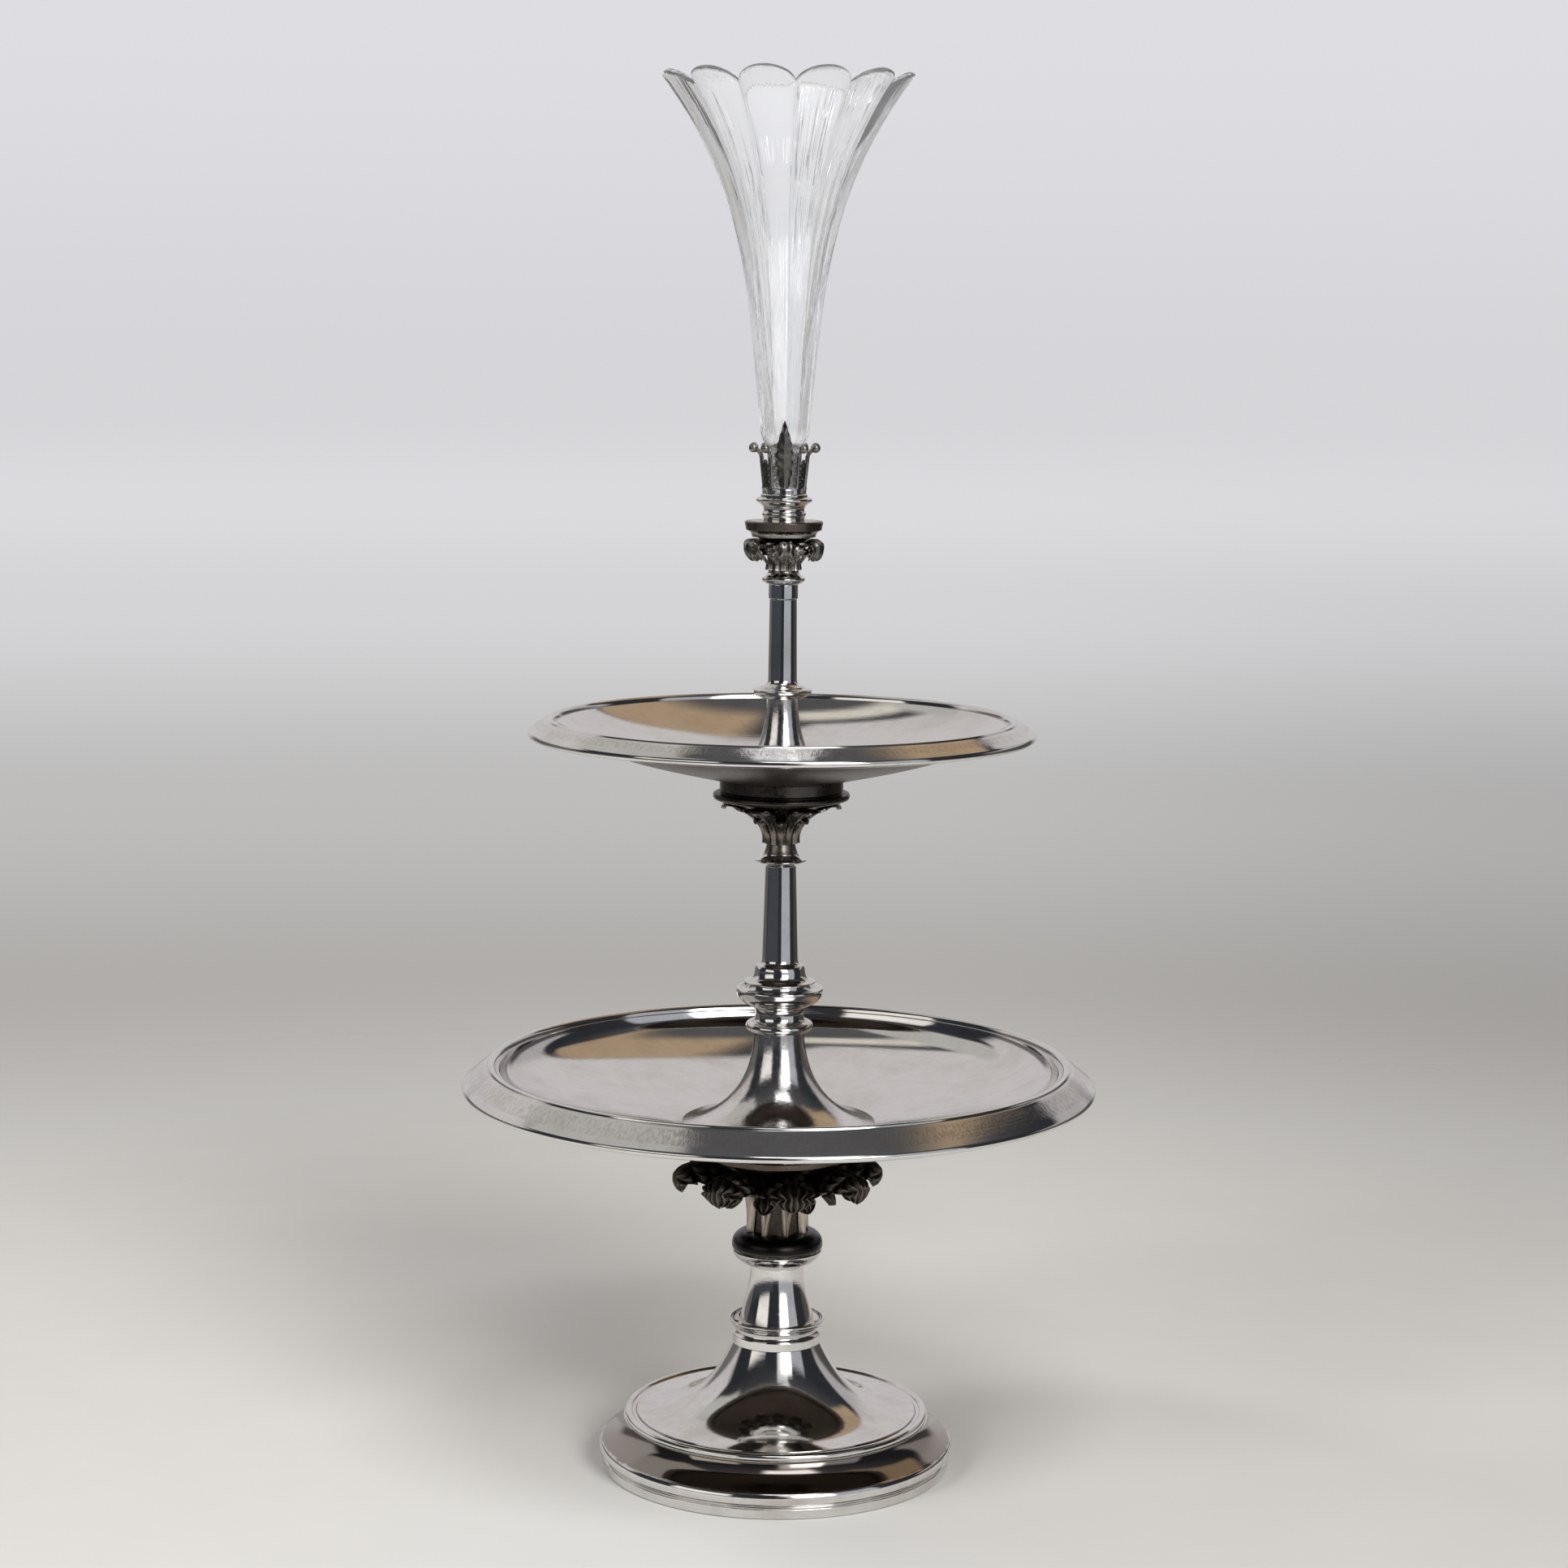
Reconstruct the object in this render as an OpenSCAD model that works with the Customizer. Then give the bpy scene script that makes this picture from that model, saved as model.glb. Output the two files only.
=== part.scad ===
// Two-tier table epergne: turned silver-plated stem, two saucer dishes, leaf capitals, fluted glass trumpet.
// Millimetres, +Z up, origin on the floor under the stem's axis. The front of the object is -Y.

/* [Base] */
// Radius of the disc at the foot of the bell
bell_foot_r = 59; // [54:0.5:64]
// Width of the bead and step outside that disc
step_w = 5.6; // [4.8:0.2:8]
// Width of the skirt moulding outside the step
skirt_w = 10.4; // [9:0.2:14]
// Height of the upright band at the floor
band_h = 4.6; // [3:0.2:7]
// Radius of the round moulding above the band
torus_r = 3.7; // [3:0.1:4.5]
// Height of the hollow cove between skirt and step
cove_h = 7.6; // [5:0.2:12]
// Height of the bell above its ledge
bell_h = 30.8; // [24:0.2:40]

/* [Stem foot] */
// Height of the collar ring on top of the bell
collar_h = 5.2; // [4:0.2:8]
// Width by which the collar stands outside the stem
collar_step = 2.05; // [1.6:0.05:3.5]
// Height of the turned-up lip of the collar
lip_h = 5.2; // [3:0.2:8]
// Radius of the stem at its foot
stem_foot_r = 16.4; // [14:0.2:20]
// Radius of the stem under the knop
stem_neck_r = 11.2; // [9.5:0.1:13]
// Height of the stem between collar and knop
stem_h = 28; // [22:0.5:40]
// Height of the flat round knop
knop_h = 14.8; // [11:0.2:20]
// Radius of the flat round knop
knop_r = 19.3; // [17:0.1:23]

/* [Lower capital] */
// Height of the capital from the knop to the abacus
cap1_h = 30; // [26:0.5:36]
// Radius of the capital's neck
cap1_neck_r = 10.6; // [9:0.1:12]
// Reach of the big leaves from the axis
leaf1_reach = 43.8; // [38:0.2:52]
// Half-width of the big leaves
leaf1_half_w = 13; // [9:0.1:14]
// Radius of the abacus
abacus1_r = 30.2; // [27:0.2:36]
// Height of the abacus up to the dish
abacus1_h = 14.8; // [11:0.2:20]

/* [Lower dish] */
// Radius of the dish at its crest
dish1_crest_r = 120.7; // [100:0.5:140]
// Width of the sloping border outside the crest
dish1_border_w = 12; // [8:0.2:18]
// Drop of the border from the crest to its edge
dish1_border_drop = 9.8; // [5:0.2:12]
// Depth of the dish from its crest to its underside
dish1_h = 28; // [22:0.5:36]
// Width of the flat ring outside the cone's foot
dish1_flat_w = 2.5; // [1:0.5:12]

/* [Lower column] */
// Radius of the cone's foot on the dish
cone1_foot_r = 40.5; // [30:0.5:48]
// Radius of the cone at its top
cone1_top_r = 10.3; // [10:0.1:12]
// Height of the cone
cone1_h = 39.6; // [32:0.2:50]
// Radius of the half-round ring on the cone
ring1_r = 14.6; // [12.5:0.1:18]
// Height of the half-round ring
ring1_h = 4.2; // [3:0.2:6]
// Height of the neck between ring and cup knop
neck1_h = 5.8; // [4:0.2:9]
// Radius of the cup knop at its rim
cup_r = 18.4; // [16:0.1:22]
// Height of the cup knop
cup_h = 10.6; // [8:0.2:15]
// Height of the stage under the shaft
stage_h = 7.4; // [5:0.2:11]
// Radius of the shaft at its foot
shaft1_foot_r = 7.5; // [6.4:0.1:9]
// Radius of the shaft at its top
shaft1_top_r = 6.4; // [5.6:0.1:7.4]
// Height of the shaft
shaft1_h = 42; // [30:0.5:70]
// Radius of the sharp ring on top of the shaft
astragal1_r = 10.7; // [9:0.1:13]
// Height of the sharp ring
astragal1_h = 5.4; // [4:0.2:8]
// Height of the middle capital
cap2_h = 22; // [18:0.2:28]
// Reach of the middle capital's leaves from the axis
leaf2_reach = 26.4; // [22:0.2:32]
// Half-width of the middle capital's leaves
leaf2_half_w = 5.6; // [4:0.1:7]
// Radius of the middle abacus
abacus2_r = 28.7; // [26:0.1:34]
// Height of the middle abacus
abacus2_h = 9.4; // [7:0.2:14]

/* [Upper dish] */
// Radius of the dish at its crest
dish2_crest_r = 96.2; // [80:0.5:115]
// Width of the sloping border outside the crest
dish2_border_w = 9; // [6:0.2:14]
// Drop of the border from the crest to its edge
dish2_border_drop = 6; // [3:0.2:9]
// Depth of the dish from its crest to its underside
dish2_h = 25; // [19:0.5:32]
// Width of the flat ring outside the cone's foot
dish2_flat_w = 13.5; // [8:0.5:22]

/* [Upper column] */
// Radius of the cone's foot on the dish
cone2_foot_r = 15.5; // [13:0.1:20]
// Radius of the cone at its top
cone2_top_r = 6.4; // [6:0.1:7.4]
// Height of the cone
cone2_h = 31.6; // [25:0.2:40]
// Radius of the saucer ring on the cone
ring2_r = 12.1; // [10.5:0.1:15]
// Height of the saucer ring
ring2_h = 5; // [4:0.2:8]
// Radius of the shaft at its foot
shaft2_foot_r = 6; // [5.4:0.1:7]
// Radius of the shaft at its top
shaft2_top_r = 5.65; // [5.2:0.05:6.4]
// Height of the shaft with its foot and neck band
shaft2_h = 42.2; // [32:0.2:60]
// Radius of the ring on top of the shaft
astragal2_r = 8.9; // [7.6:0.1:11]
// Height of the ring on top of the shaft
astragal2_h = 5; // [4:0.2:7]
// Height of the top capital
cap3_h = 14.6; // [12:0.2:19]
// Reach of the top capital's leaves from the axis
leaf3_reach = 17.6; // [15:0.1:21]
// Half-width of the top capital's leaves
leaf3_half_w = 5.4; // [4:0.1:6.4]
// Radius of the top abacus
abacus3_r = 16.2; // [14.5:0.1:19]
// Height of the top abacus
abacus3_h = 6.6; // [5:0.2:10]

/* [Crown socket] */
// Radius of the bore that takes the glass peg
socket_r = 7.6; // [6.6:0.1:8.6]
// Height of the socket cup
socket_h = 10; // [8:0.2:14]
// Radius of the flange round the socket
flange_r = 11.6; // [11:0.1:14]
// Height of the plain band under the crown
crown_band_h = 3.6; // [2.5:0.1:6]
// Height of the upright part of the crown's stalks
stalk_h = 12.4; // [9:0.2:16]
// Radius of the crown's stalks
stalk_r = 0.85; // [0.6:0.05:1]
// Radius of the ball on each stalk
ball_r = 1.95; // [1.4:0.05:2.4]
// Drop of the pierced pales below the bend of the stalks
pale_drop = 1.2; // [0.4:0.1:3]
// Height of the tall pointed leaves above the band
crown_leaf_h = 27.6; // [22:0.2:36]

/* [Glass trumpet] */
// Height of the fluted part of the glass
glass_h = 143; // [110:1:180]
// Radius of the glass where it leaves the crown
glass_throat_r = 10.2; // [9.6:0.1:11]
// Radius of the glass at the tips of its rim
glass_mouth_r = 52; // [40:0.5:62]
// Thickness of the glass at its throat
glass_throat_t = 4.2; // [3:0.1:5]
// Thickness of the glass at its rim
glass_rim_t = 2.2; // [1.6:0.1:3.2]
// Number of petals round the glass
petals = 12; // [8:1:16]
// Height of the petals above the notches between them
petal_h = 5.5; // [3:0.5:9]

/* [Fixings] */
// Radius of the rod through the foot, and of the stud above it
rod1_r = 4; // [3:0.25:4.5]
// Radius of the rod through the lower column
rod2_r = 3; // [2.5:0.25:3.5]
// Radius of the rod through the upper column
rod3_r = 2.5; // [2:0.25:2.75]
// Length of the stud that stands above the lower abacus
stud1_l = 20; // [14:0.5:26]
// Length of the stud that stands above the middle abacus
stud2_l = 16; // [11:0.5:20]
// Thickness of the spun sheet
sheet_t = 1.2; // [0.9:0.1:1.6]
// Thickness of cast walls
cast_t = 2; // [1.4:0.1:2.6]
// Radial clearance round a rod or stud
rod_clear = 0.25; // [0.15:0.05:0.35]
// Gap at a seat between pieces that lift apart
seat_gap = 0.2; // [0.1:0.05:0.3]

/* [Hidden] */

// Facets of a full turn, and points along one curve
round_fn = 96;
curve_n = 12;
// Soldered and screwed pieces stand this far apart
solder_gap = 0.05;
// A leaf stands this far off the core that it lies on
leaf_gap = 0.3;
// Points closer than this are one point
same_point = 0.001;

silver = [0.78, 0.77, 0.75];
bright_silver = [0.86, 0.86, 0.85];
dark_silver = [0.36, 0.35, 0.33];
brass = [0.72, 0.58, 0.30];
steel = [0.55, 0.56, 0.58];
clear_glass = [0.86, 0.90, 0.92, 0.35];

// Plinth radii, from the bell's disc outwards, and its levels
step_r = bell_foot_r + step_w;
base_r = step_r + skirt_w;
ledge_w = 4.6;
torus_z = band_h + torus_r + 0.3;
cove_z = torus_z + torus_r + 0.7;
step_edge_h = 1.6;
plinth_h = cove_z + cove_h + step_edge_h;

// Clamping pieces under the base
clamp_t = 2;
web_t = 3;
nut_h = 6.5;
thin_nut_h = 2.4;
nut1_r = rod1_r + 3.6;
nut2_r = rod2_r + 2.8;
nut3_r = rod3_r + 2.1;
nut_clear = 0.4;

// Bores for the three rods
bore1_r = rod1_r + rod_clear;
bore2_r = rod2_r + rod_clear;
bore3_r = rod3_r + rod_clear;

// Bushes soldered into the cones
bush1_r = rod1_r + 4.3;
bush2_r = rod2_r + 2.1;

// Seat levels, from the floor up
collar_r = stem_foot_r + collar_step;
z_bell = plinth_h;
z_collar = z_bell + bell_h;
z_stem = z_collar + collar_h;
z_knop = z_stem + stem_h;
z_cap1 = z_knop + knop_h;
z_abacus1 = z_cap1 + cap1_h;
z_dish1 = z_abacus1 + abacus1_h + seat_gap;
z_cone1 = z_dish1 + sheet_t + seat_gap;
z_ring1 = z_cone1 + cone1_h;
z_cup = z_ring1 + ring1_h + neck1_h;
z_stage = z_cup + cup_h;
z_shaft1 = z_stage + stage_h;
z_astragal1 = z_shaft1 + shaft1_h;
z_cap2 = z_astragal1 + astragal1_h;
z_abacus2 = z_cap2 + cap2_h;
z_dish2 = z_abacus2 + abacus2_h + seat_gap;
z_cone2 = z_dish2 + sheet_t + seat_gap;
z_ring2 = z_cone2 + cone2_h;
z_shaft2 = z_ring2 + ring2_h;
z_astragal2 = z_shaft2 + shaft2_h;
z_cap3 = z_astragal2 + astragal2_h;
z_abacus3 = z_cap3 + cap3_h;
z_socket = z_abacus3 + abacus3_h;
z_band = z_socket + socket_h;
z_crown = z_band + crown_band_h;

// Neck radii shared by pieces that meet
knop_top_r = cap1_neck_r + 2;
neck1_r = cone1_top_r;
stage_r = shaft1_foot_r + 3;
cap2_neck_r = shaft1_top_r + 0.6;
cap3_neck_r = shaft2_top_r + 0.75;
cap1_top_r = abacus1_r - 4.8;
cap2_top_r = abacus2_r - 5.4;
cap3_top_r = 0.7 * abacus3_r;

// Tops of the two abacuses that carry dishes, and the flat middles of the dishes on them
abacus1_top_r = abacus1_r - 6;
abacus2_top_r = abacus2_r - 3;
dish1_flat_r = max(cone1_foot_r + dish1_flat_w, abacus1_top_r + 1);
dish2_flat_r = max(cone2_foot_r + dish2_flat_w, abacus2_top_r + 1);

// Socket and crown
socket_floor_t = 1.8;
crown_in_r = socket_r + 0.1;
stalk_ring_r = crown_in_r + stalk_r;
stalk_lean = 6;
stalk_bend_r = 4;
stalk_bend_angle = 75;
crown_step = 36;
crown_count = 10;
stalk_foot_r = 1.2 * stalk_r;
pale_h = stalk_h - pale_drop;
pale_t = 0.9;
pale_holes = 4;

// Glass: peg in the socket, shoulder inside the crown, fluted trumpet above
peg_clear = 0.55;
peg_r = socket_r - peg_clear;
z_peg = z_socket + socket_floor_t + thin_nut_h + seat_gap;
z_shoulder = z_crown + stalk_h + 1.5;
shoulder_h = 9.5;
z_throat = z_shoulder + shoulder_h;
glass_floor_t = 6;
petal_cols = 8;
glass_cols = petals * petal_cols;
glass_rows = 14;
glass_turn = 4;
rim_slope = 0.8;

// Geometry shared by the sub-parts

// Points of a circular arc about c, from angle a0 to a1
function arc(c, r, a0, a1, n = curve_n) =
  [for (i = [0:n]) let (a = a0 + (a1 - a0) * i / n) c + r * [cos(a), sin(a)]];

// Points of a cubic curve from p0 to p3
function curve(p0, p1, p2, p3, n = curve_n) =
  [for (i = [0:n]) let (t = i / n, u = 1 - t)
    u * u * u * p0 + 3 * u * u * t * p1 + 3 * u * t * t * p2 + t * t * t * p3];

function reversed(p) = [for (i = [len(p) - 1:-1:0]) p[i]];

// The same points with repeated ones left out
function clean(p) = [for (i = [0:len(p) - 1]) if (i == 0 || norm(p[i] - p[max(i - 1, 0)]) > same_point) p[i]];

// Direction of a line of points at point i
function heading(p, i) =
  let (d = p[min(i + 1, len(p) - 1)] - p[max(i - 1, 0)]) d / norm(d);

// A line of points moved sideways by w, to the left of its direction
function shifted(p, w) = [for (i = [0:len(p) - 1]) let (d = heading(p, i)) p[i] + w * [-d.y, d.x]];

// A solid of revolution from a closed outline of [radius, height] points
module turned(outline) {
  rotate_extrude($fn = round_fn) polygon(clean(outline));
}

// A hexagon nut with its bore
module hex_nut(corner_r, bore_r, h) {
  difference() {
    cylinder(r = corner_r, h = h, $fn = 6);
    translate([0, 0, -h]) cylinder(r = bore_r, h = 3 * h, $fn = round_fn);
  }
}

// A hollow turned piece: outer line from foot to top, wall, web at the top with a bore
module hollow_turned(line, wall, bore, top_z) {
  inner = [for (q = shifted(line, wall)) if (q.y > 0 && q.y < top_z - web_t && q.x > bore + 0.4) q];
  foot = [line[0].x - wall, line[0].y];
  turned(concat(line, [[bore, top_z], [bore, top_z - web_t]], reversed(inner), [foot]));
}

// Base

module base_plinth() {
  band_r = base_r - 1.4;
  wall_r = band_r - cast_t;
  cove_back_r = step_r - 3.6;
  torus_from = -68;
  bead_r = 1.7;
  bead_in = 0.4;
  bead_from = -35;
  bead_to = 155;
  color(silver)
  turned(concat(
    [[wall_r, 0], [band_r - 0.4, 0], [band_r, 0.4], [band_r, band_h - 0.6], [band_r - 1, band_h]],
    arc([base_r - torus_r, torus_z], torus_r, torus_from, 90),
    [[step_r + 2, cove_z - 0.5]],
    curve([step_r + 1.6, cove_z], [step_r - 2.2, cove_z + 0.1 * cove_h],
      [step_r - 2.4, cove_z + 0.85 * cove_h], [step_r, cove_z + cove_h]),
    [[step_r, cove_z + cove_h + 0.4]],
    arc([step_r - bead_in - bead_r, plinth_h - 0.1], bead_r, bead_from, bead_to),
    [[bell_foot_r + 0.4, plinth_h + 0.6], [bell_foot_r + 0.3, plinth_h], [bell_foot_r - ledge_w, plinth_h]],
    [[bell_foot_r - ledge_w, plinth_h - sheet_t], [cove_back_r, plinth_h - sheet_t]],
    [[cove_back_r, torus_z + 1.8], [base_r - torus_r - 0.6, torus_z + 1.8], [wall_r, torus_z]]
  ));
}

module base_bell() {
  flare = bell_foot_r - collar_r;
  line = curve([bell_foot_r, sheet_t], [collar_r + 0.41 * flare, sheet_t],
    [collar_r + 0.173 * flare, 0.48 * bell_h], [collar_r, bell_h], 20);
  inner = [for (q = shifted(line, sheet_t)) if (q.y < bell_h - web_t) q];
  color(bright_silver)
  translate([0, 0, z_bell])
  turned(concat(line, [[bore1_r, bell_h], [bore1_r, bell_h - web_t]], reversed(inner)));
}

module base_clamp_plate() {
  plate_r = bell_foot_r - 1.5;
  hub_r = nut1_r + 3;
  z_plate = plinth_h - sheet_t - clamp_t;
  color(steel)
  translate([0, 0, z_plate])
  turned([[bore1_r, 0], [hub_r, 0], [hub_r + 1, 0.6], [plate_r, 0.6], [plate_r, clamp_t], [bore1_r, clamp_t]]);
}

module base_nut() {
  color(brass)
  translate([0, 0, plinth_h - sheet_t - clamp_t - nut_h])
  hex_nut(nut1_r, rod1_r + solder_gap, nut_h);
}

module base_rod() {
  rod_end = 1.5;
  z_foot = plinth_h - sheet_t - clamp_t - nut_h - rod_end;
  color(steel)
  translate([0, 0, z_foot])
  turned([
    [0, 0], [rod1_r - 0.5, 0], [rod1_r, 0.5],
    [rod1_r, z_dish1 + stud1_l - z_foot - 1], [rod1_r - 1, z_dish1 + stud1_l - z_foot],
    [0, z_dish1 + stud1_l - z_foot]
  ]);
}

// Stem foot

module stem_collar() {
  lip_t = 0.8;
  lip_r = collar_r + 1.75;
  color(bright_silver)
  translate([0, 0, z_collar])
  turned(concat(
    [[bore1_r, 0], [collar_r, 0], [collar_r, 0.68 * collar_h], [collar_r - 1, 0.84 * collar_h]],
    curve([collar_r - 1.3, collar_h], [collar_r - 0.6, collar_h + 0.4 * lip_h],
      [lip_r - 0.4, collar_h + 0.45 * lip_h], [lip_r, collar_h + lip_h - 0.3]),
    [[lip_r - 0.25, collar_h + lip_h], [lip_r - lip_t, collar_h + lip_h - 0.1]],
    curve([lip_r - lip_t, collar_h + lip_h - 0.3], [lip_r - 1.1, collar_h + 0.5 * lip_h],
      [collar_r - 1.3, collar_h + 0.45 * lip_h], [stem_foot_r + 0.1, collar_h]),
    [[bore1_r, collar_h]]
  ));
}

module stem_vase() {
  line = curve([stem_foot_r, 0], [stem_foot_r - 1.1, 0.35 * stem_h],
    [stem_neck_r + 0.2, 0.56 * stem_h], [stem_neck_r, stem_h], 16);
  color(silver)
  translate([0, 0, z_stem])
  hollow_turned(line, cast_t, bore1_r, stem_h);
}

module stem_knop() {
  rim_z = 0.46 * knop_h;
  groove_d = 0.9;
  color(silver)
  translate([0, 0, z_knop])
  turned(concat(
    [[bore1_r, 0]],
    curve([stem_neck_r + 0.2, 0], [stem_neck_r + 0.28 * (knop_r - stem_neck_r), 0.06 * knop_h],
      [knop_r - 1.5, 0.18 * knop_h], [knop_r, rim_z]),
    [[knop_r - groove_d, rim_z + 0.3], [knop_r - groove_d, rim_z + 0.8]],
    curve([knop_r - 0.2, rim_z + 1.2], [knop_r + 0.3, 0.86 * knop_h],
      [knop_r - 2.4, knop_h], [knop_top_r, knop_h]),
    [[bore1_r, knop_h]]
  ));
}

// Leaf ornament

// A leaf as one closed skin that wraps round the axis: a spine of [radius, height] points along its back,
// half-widths along the spine, how far its edges fold forwards, and its thickness at keel and edge
module leaf(spine, half_w, folds, keel_t, edge_t, cols) {
  rows = len(spine);
  function across(j) = 2 * j / (cols - 1) - 1;
  function skin(i, j, out) =
    let (
      s = across(j),
      d = heading(spine, i),
      n = [d.y, -d.x],
      lift = out * (edge_t + (keel_t - edge_t) * (1 - s * s)) + folds[i] * s * s,
      a = s * half_w[i] / spine[i].x * 180 / PI,
      q = spine[i] + n * lift
    )
    [q.x * cos(a), q.x * sin(a), q.y];
  function at(i, j, out) = (i * cols + j) * 2 + out;
  skin_points = [for (i = [0:rows - 1], j = [0:cols - 1], out = [0, 1]) skin(i, j, out)];
  front = [for (i = [0:rows - 2], j = [0:cols - 2], k = [0, 1])
    k == 0 ? [at(i, j, 1), at(i + 1, j, 1), at(i + 1, j + 1, 1)]
           : [at(i, j, 1), at(i + 1, j + 1, 1), at(i, j + 1, 1)]];
  back = [for (i = [0:rows - 2], j = [0:cols - 2], k = [0, 1])
    k == 0 ? [at(i, j, 0), at(i + 1, j + 1, 0), at(i + 1, j, 0)]
           : [at(i, j, 0), at(i, j + 1, 0), at(i + 1, j + 1, 0)]];
  last = cols - 1;
  edges = [for (i = [0:rows - 2], k = [0:3])
    k == 0 ? [at(i, 0, 0), at(i + 1, 0, 0), at(i + 1, 0, 1)] :
    k == 1 ? [at(i, 0, 0), at(i + 1, 0, 1), at(i, 0, 1)] :
    k == 2 ? [at(i, last, 0), at(i + 1, last, 1), at(i + 1, last, 0)] :
             [at(i, last, 0), at(i, last, 1), at(i + 1, last, 1)]];
  tip = rows - 1;
  ends = [for (j = [0:cols - 2], k = [0:3])
    k == 0 ? [at(tip, j, 0), at(tip, j + 1, 0), at(tip, j + 1, 1)] :
    k == 1 ? [at(tip, j, 0), at(tip, j + 1, 1), at(tip, j, 1)] :
    k == 2 ? [at(0, j, 0), at(0, j + 1, 1), at(0, j + 1, 0)] :
             [at(0, j, 0), at(0, j, 1), at(0, j + 1, 1)]];
  polyhedron(points = skin_points, faces = concat(front, back, edges, ends));
}

// Half-widths of a scalloped leaf: a stalk of half-width stalk_w that opens, from share start of its length,
// into a blade of half-width blade_w
function leaf_widths(n, stalk_w, blade_w, lobes, start = 0.3) =
  [for (i = [0:n]) let (
      t = i / n,
      opening = max(0, min(1, (t - start) / 0.4)),
      swell = opening * opening * (3 - 2 * opening),
      closing = t < 0.8 ? 1 : sqrt(max(0.02, 1 - pow((t - 0.8) / 0.2, 2))),
      scallop = 1 - 0.16 * swell * pow(sin(180 * lobes * t), 2)
    ) (stalk_w + (blade_w - stalk_w) * swell) * closing * scallop];

// Folds of a leaf's edges: none on the stalk, the full depth at share peak, less again towards the tip
function leaf_folds(n, depth, peak) =
  [for (i = [0:n]) let (
      t = i / n,
      up = max(0, min(1, (t - 0.35) / (peak - 0.35))),
      down = max(0, min(1, (1 - t) / (1 - peak)))
    ) depth * up * up * (3 - 2 * up) * (0.15 + 0.85 * down)];

// Every second point of a core's line from point a to point b, moved outwards so that a leaf can lie on it
function on_core(line, a, b) = let (s = shifted(line, -leaf_gap)) [for (i = [a:2:b]) s[i]];

// Copies of the children round the axis; the first is turned by start from the front
module around(count, start) {
  for (i = [0:count - 1]) rotate([0, 0, -90 + start + i * 360 / count]) children();
}

// Lower capital

function core1_line() = curve([cap1_neck_r, 0], [cap1_neck_r - 0.8, 0.5 * cap1_h],
  [cap1_neck_r - 0.1, 0.82 * cap1_h], [cap1_top_r, cap1_h], 16);

module lower_capital() {
  color(dark_silver)
  translate([0, 0, z_cap1])
  turned(concat([[bore1_r, 0]], core1_line(), [[bore1_r, cap1_h]]));
}

module lower_capital_leaves() {
  count = 8;
  turn = 9;
  stem = on_core(core1_line(), 2, 14);
  bend = stem[len(stem) - 1];
  blade = clean(concat(
    stem,
    curve(bend, bend + [4, 0.043 * cap1_h], [0.86 * leaf1_reach, 1.12 * cap1_h],
      [leaf1_reach, 0.83 * cap1_h], 5),
    curve([leaf1_reach, 0.83 * cap1_h], [leaf1_reach + 0.9, 0.72 * cap1_h],
      [leaf1_reach - 0.4, 0.62 * cap1_h], [0.92 * leaf1_reach, 0.56 * cap1_h], 4)
  ));
  blade_n = len(blade) - 1;
  blade_fold = 11;
  bud_stem = on_core(core1_line(), 1, 7);
  bud_bend = bud_stem[len(bud_stem) - 1];
  bud = clean(concat(
    bud_stem,
    curve(bud_bend, bud_bend + [0.6, 0.13 * cap1_h],
      bud_bend + [5, 0.17 * cap1_h], bud_bend + [4.4, -0.06 * cap1_h], 5)
  ));
  bud_n = len(bud) - 1;
  bud_half_w = 3;
  color(dark_silver)
  translate([0, 0, z_cap1]) {
    around(count, turn)
    leaf(blade, leaf_widths(blade_n, 1.9, leaf1_half_w, 3),
      leaf_folds(blade_n, blade_fold, 0.6), 1.8, 0.9, 7);
    around(count, turn + 180 / count)
    leaf(bud, leaf_widths(bud_n, 1.6, bud_half_w, 1), leaf_folds(bud_n, 0, 0.6), 1.4, 0.8, 3);
  }
}

module lower_abacus() {
  color(silver)
  translate([0, 0, z_abacus1])
  difference() {
    turned(concat(
      [[bore1_r, 0]],
      curve([abacus1_r - 4.5, 0], [abacus1_r - 2.5, 0.04 * abacus1_h],
        [abacus1_r - 1, 0.12 * abacus1_h], [abacus1_r - 0.4, 0.17 * abacus1_h], 5),
      [[abacus1_r, 0.19 * abacus1_h], [abacus1_r, 0.36 * abacus1_h], [abacus1_r - 1.6, 0.4 * abacus1_h]],
      [[abacus1_r - 1.6, 0.5 * abacus1_h]],
      curve([abacus1_r - 2.2, 0.54 * abacus1_h], [abacus1_r - 2.2, 0.8 * abacus1_h],
        [abacus1_top_r + 1, 0.7 * abacus1_h], [abacus1_top_r, abacus1_h]),
      [[bore1_r, abacus1_h]]
    ));
    translate([0, 0, abacus1_h - thin_nut_h - 2 * solder_gap])
    cylinder(r = nut1_r + nut_clear, h = 2 * thin_nut_h, $fn = round_fn);
  }
}

module lower_nut() {
  color(brass)
  translate([0, 0, z_abacus1 + abacus1_h - thin_nut_h - 2 * solder_gap])
  hex_nut(nut1_r, rod1_r + solder_gap, thin_nut_h);
}

// Dishes

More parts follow.
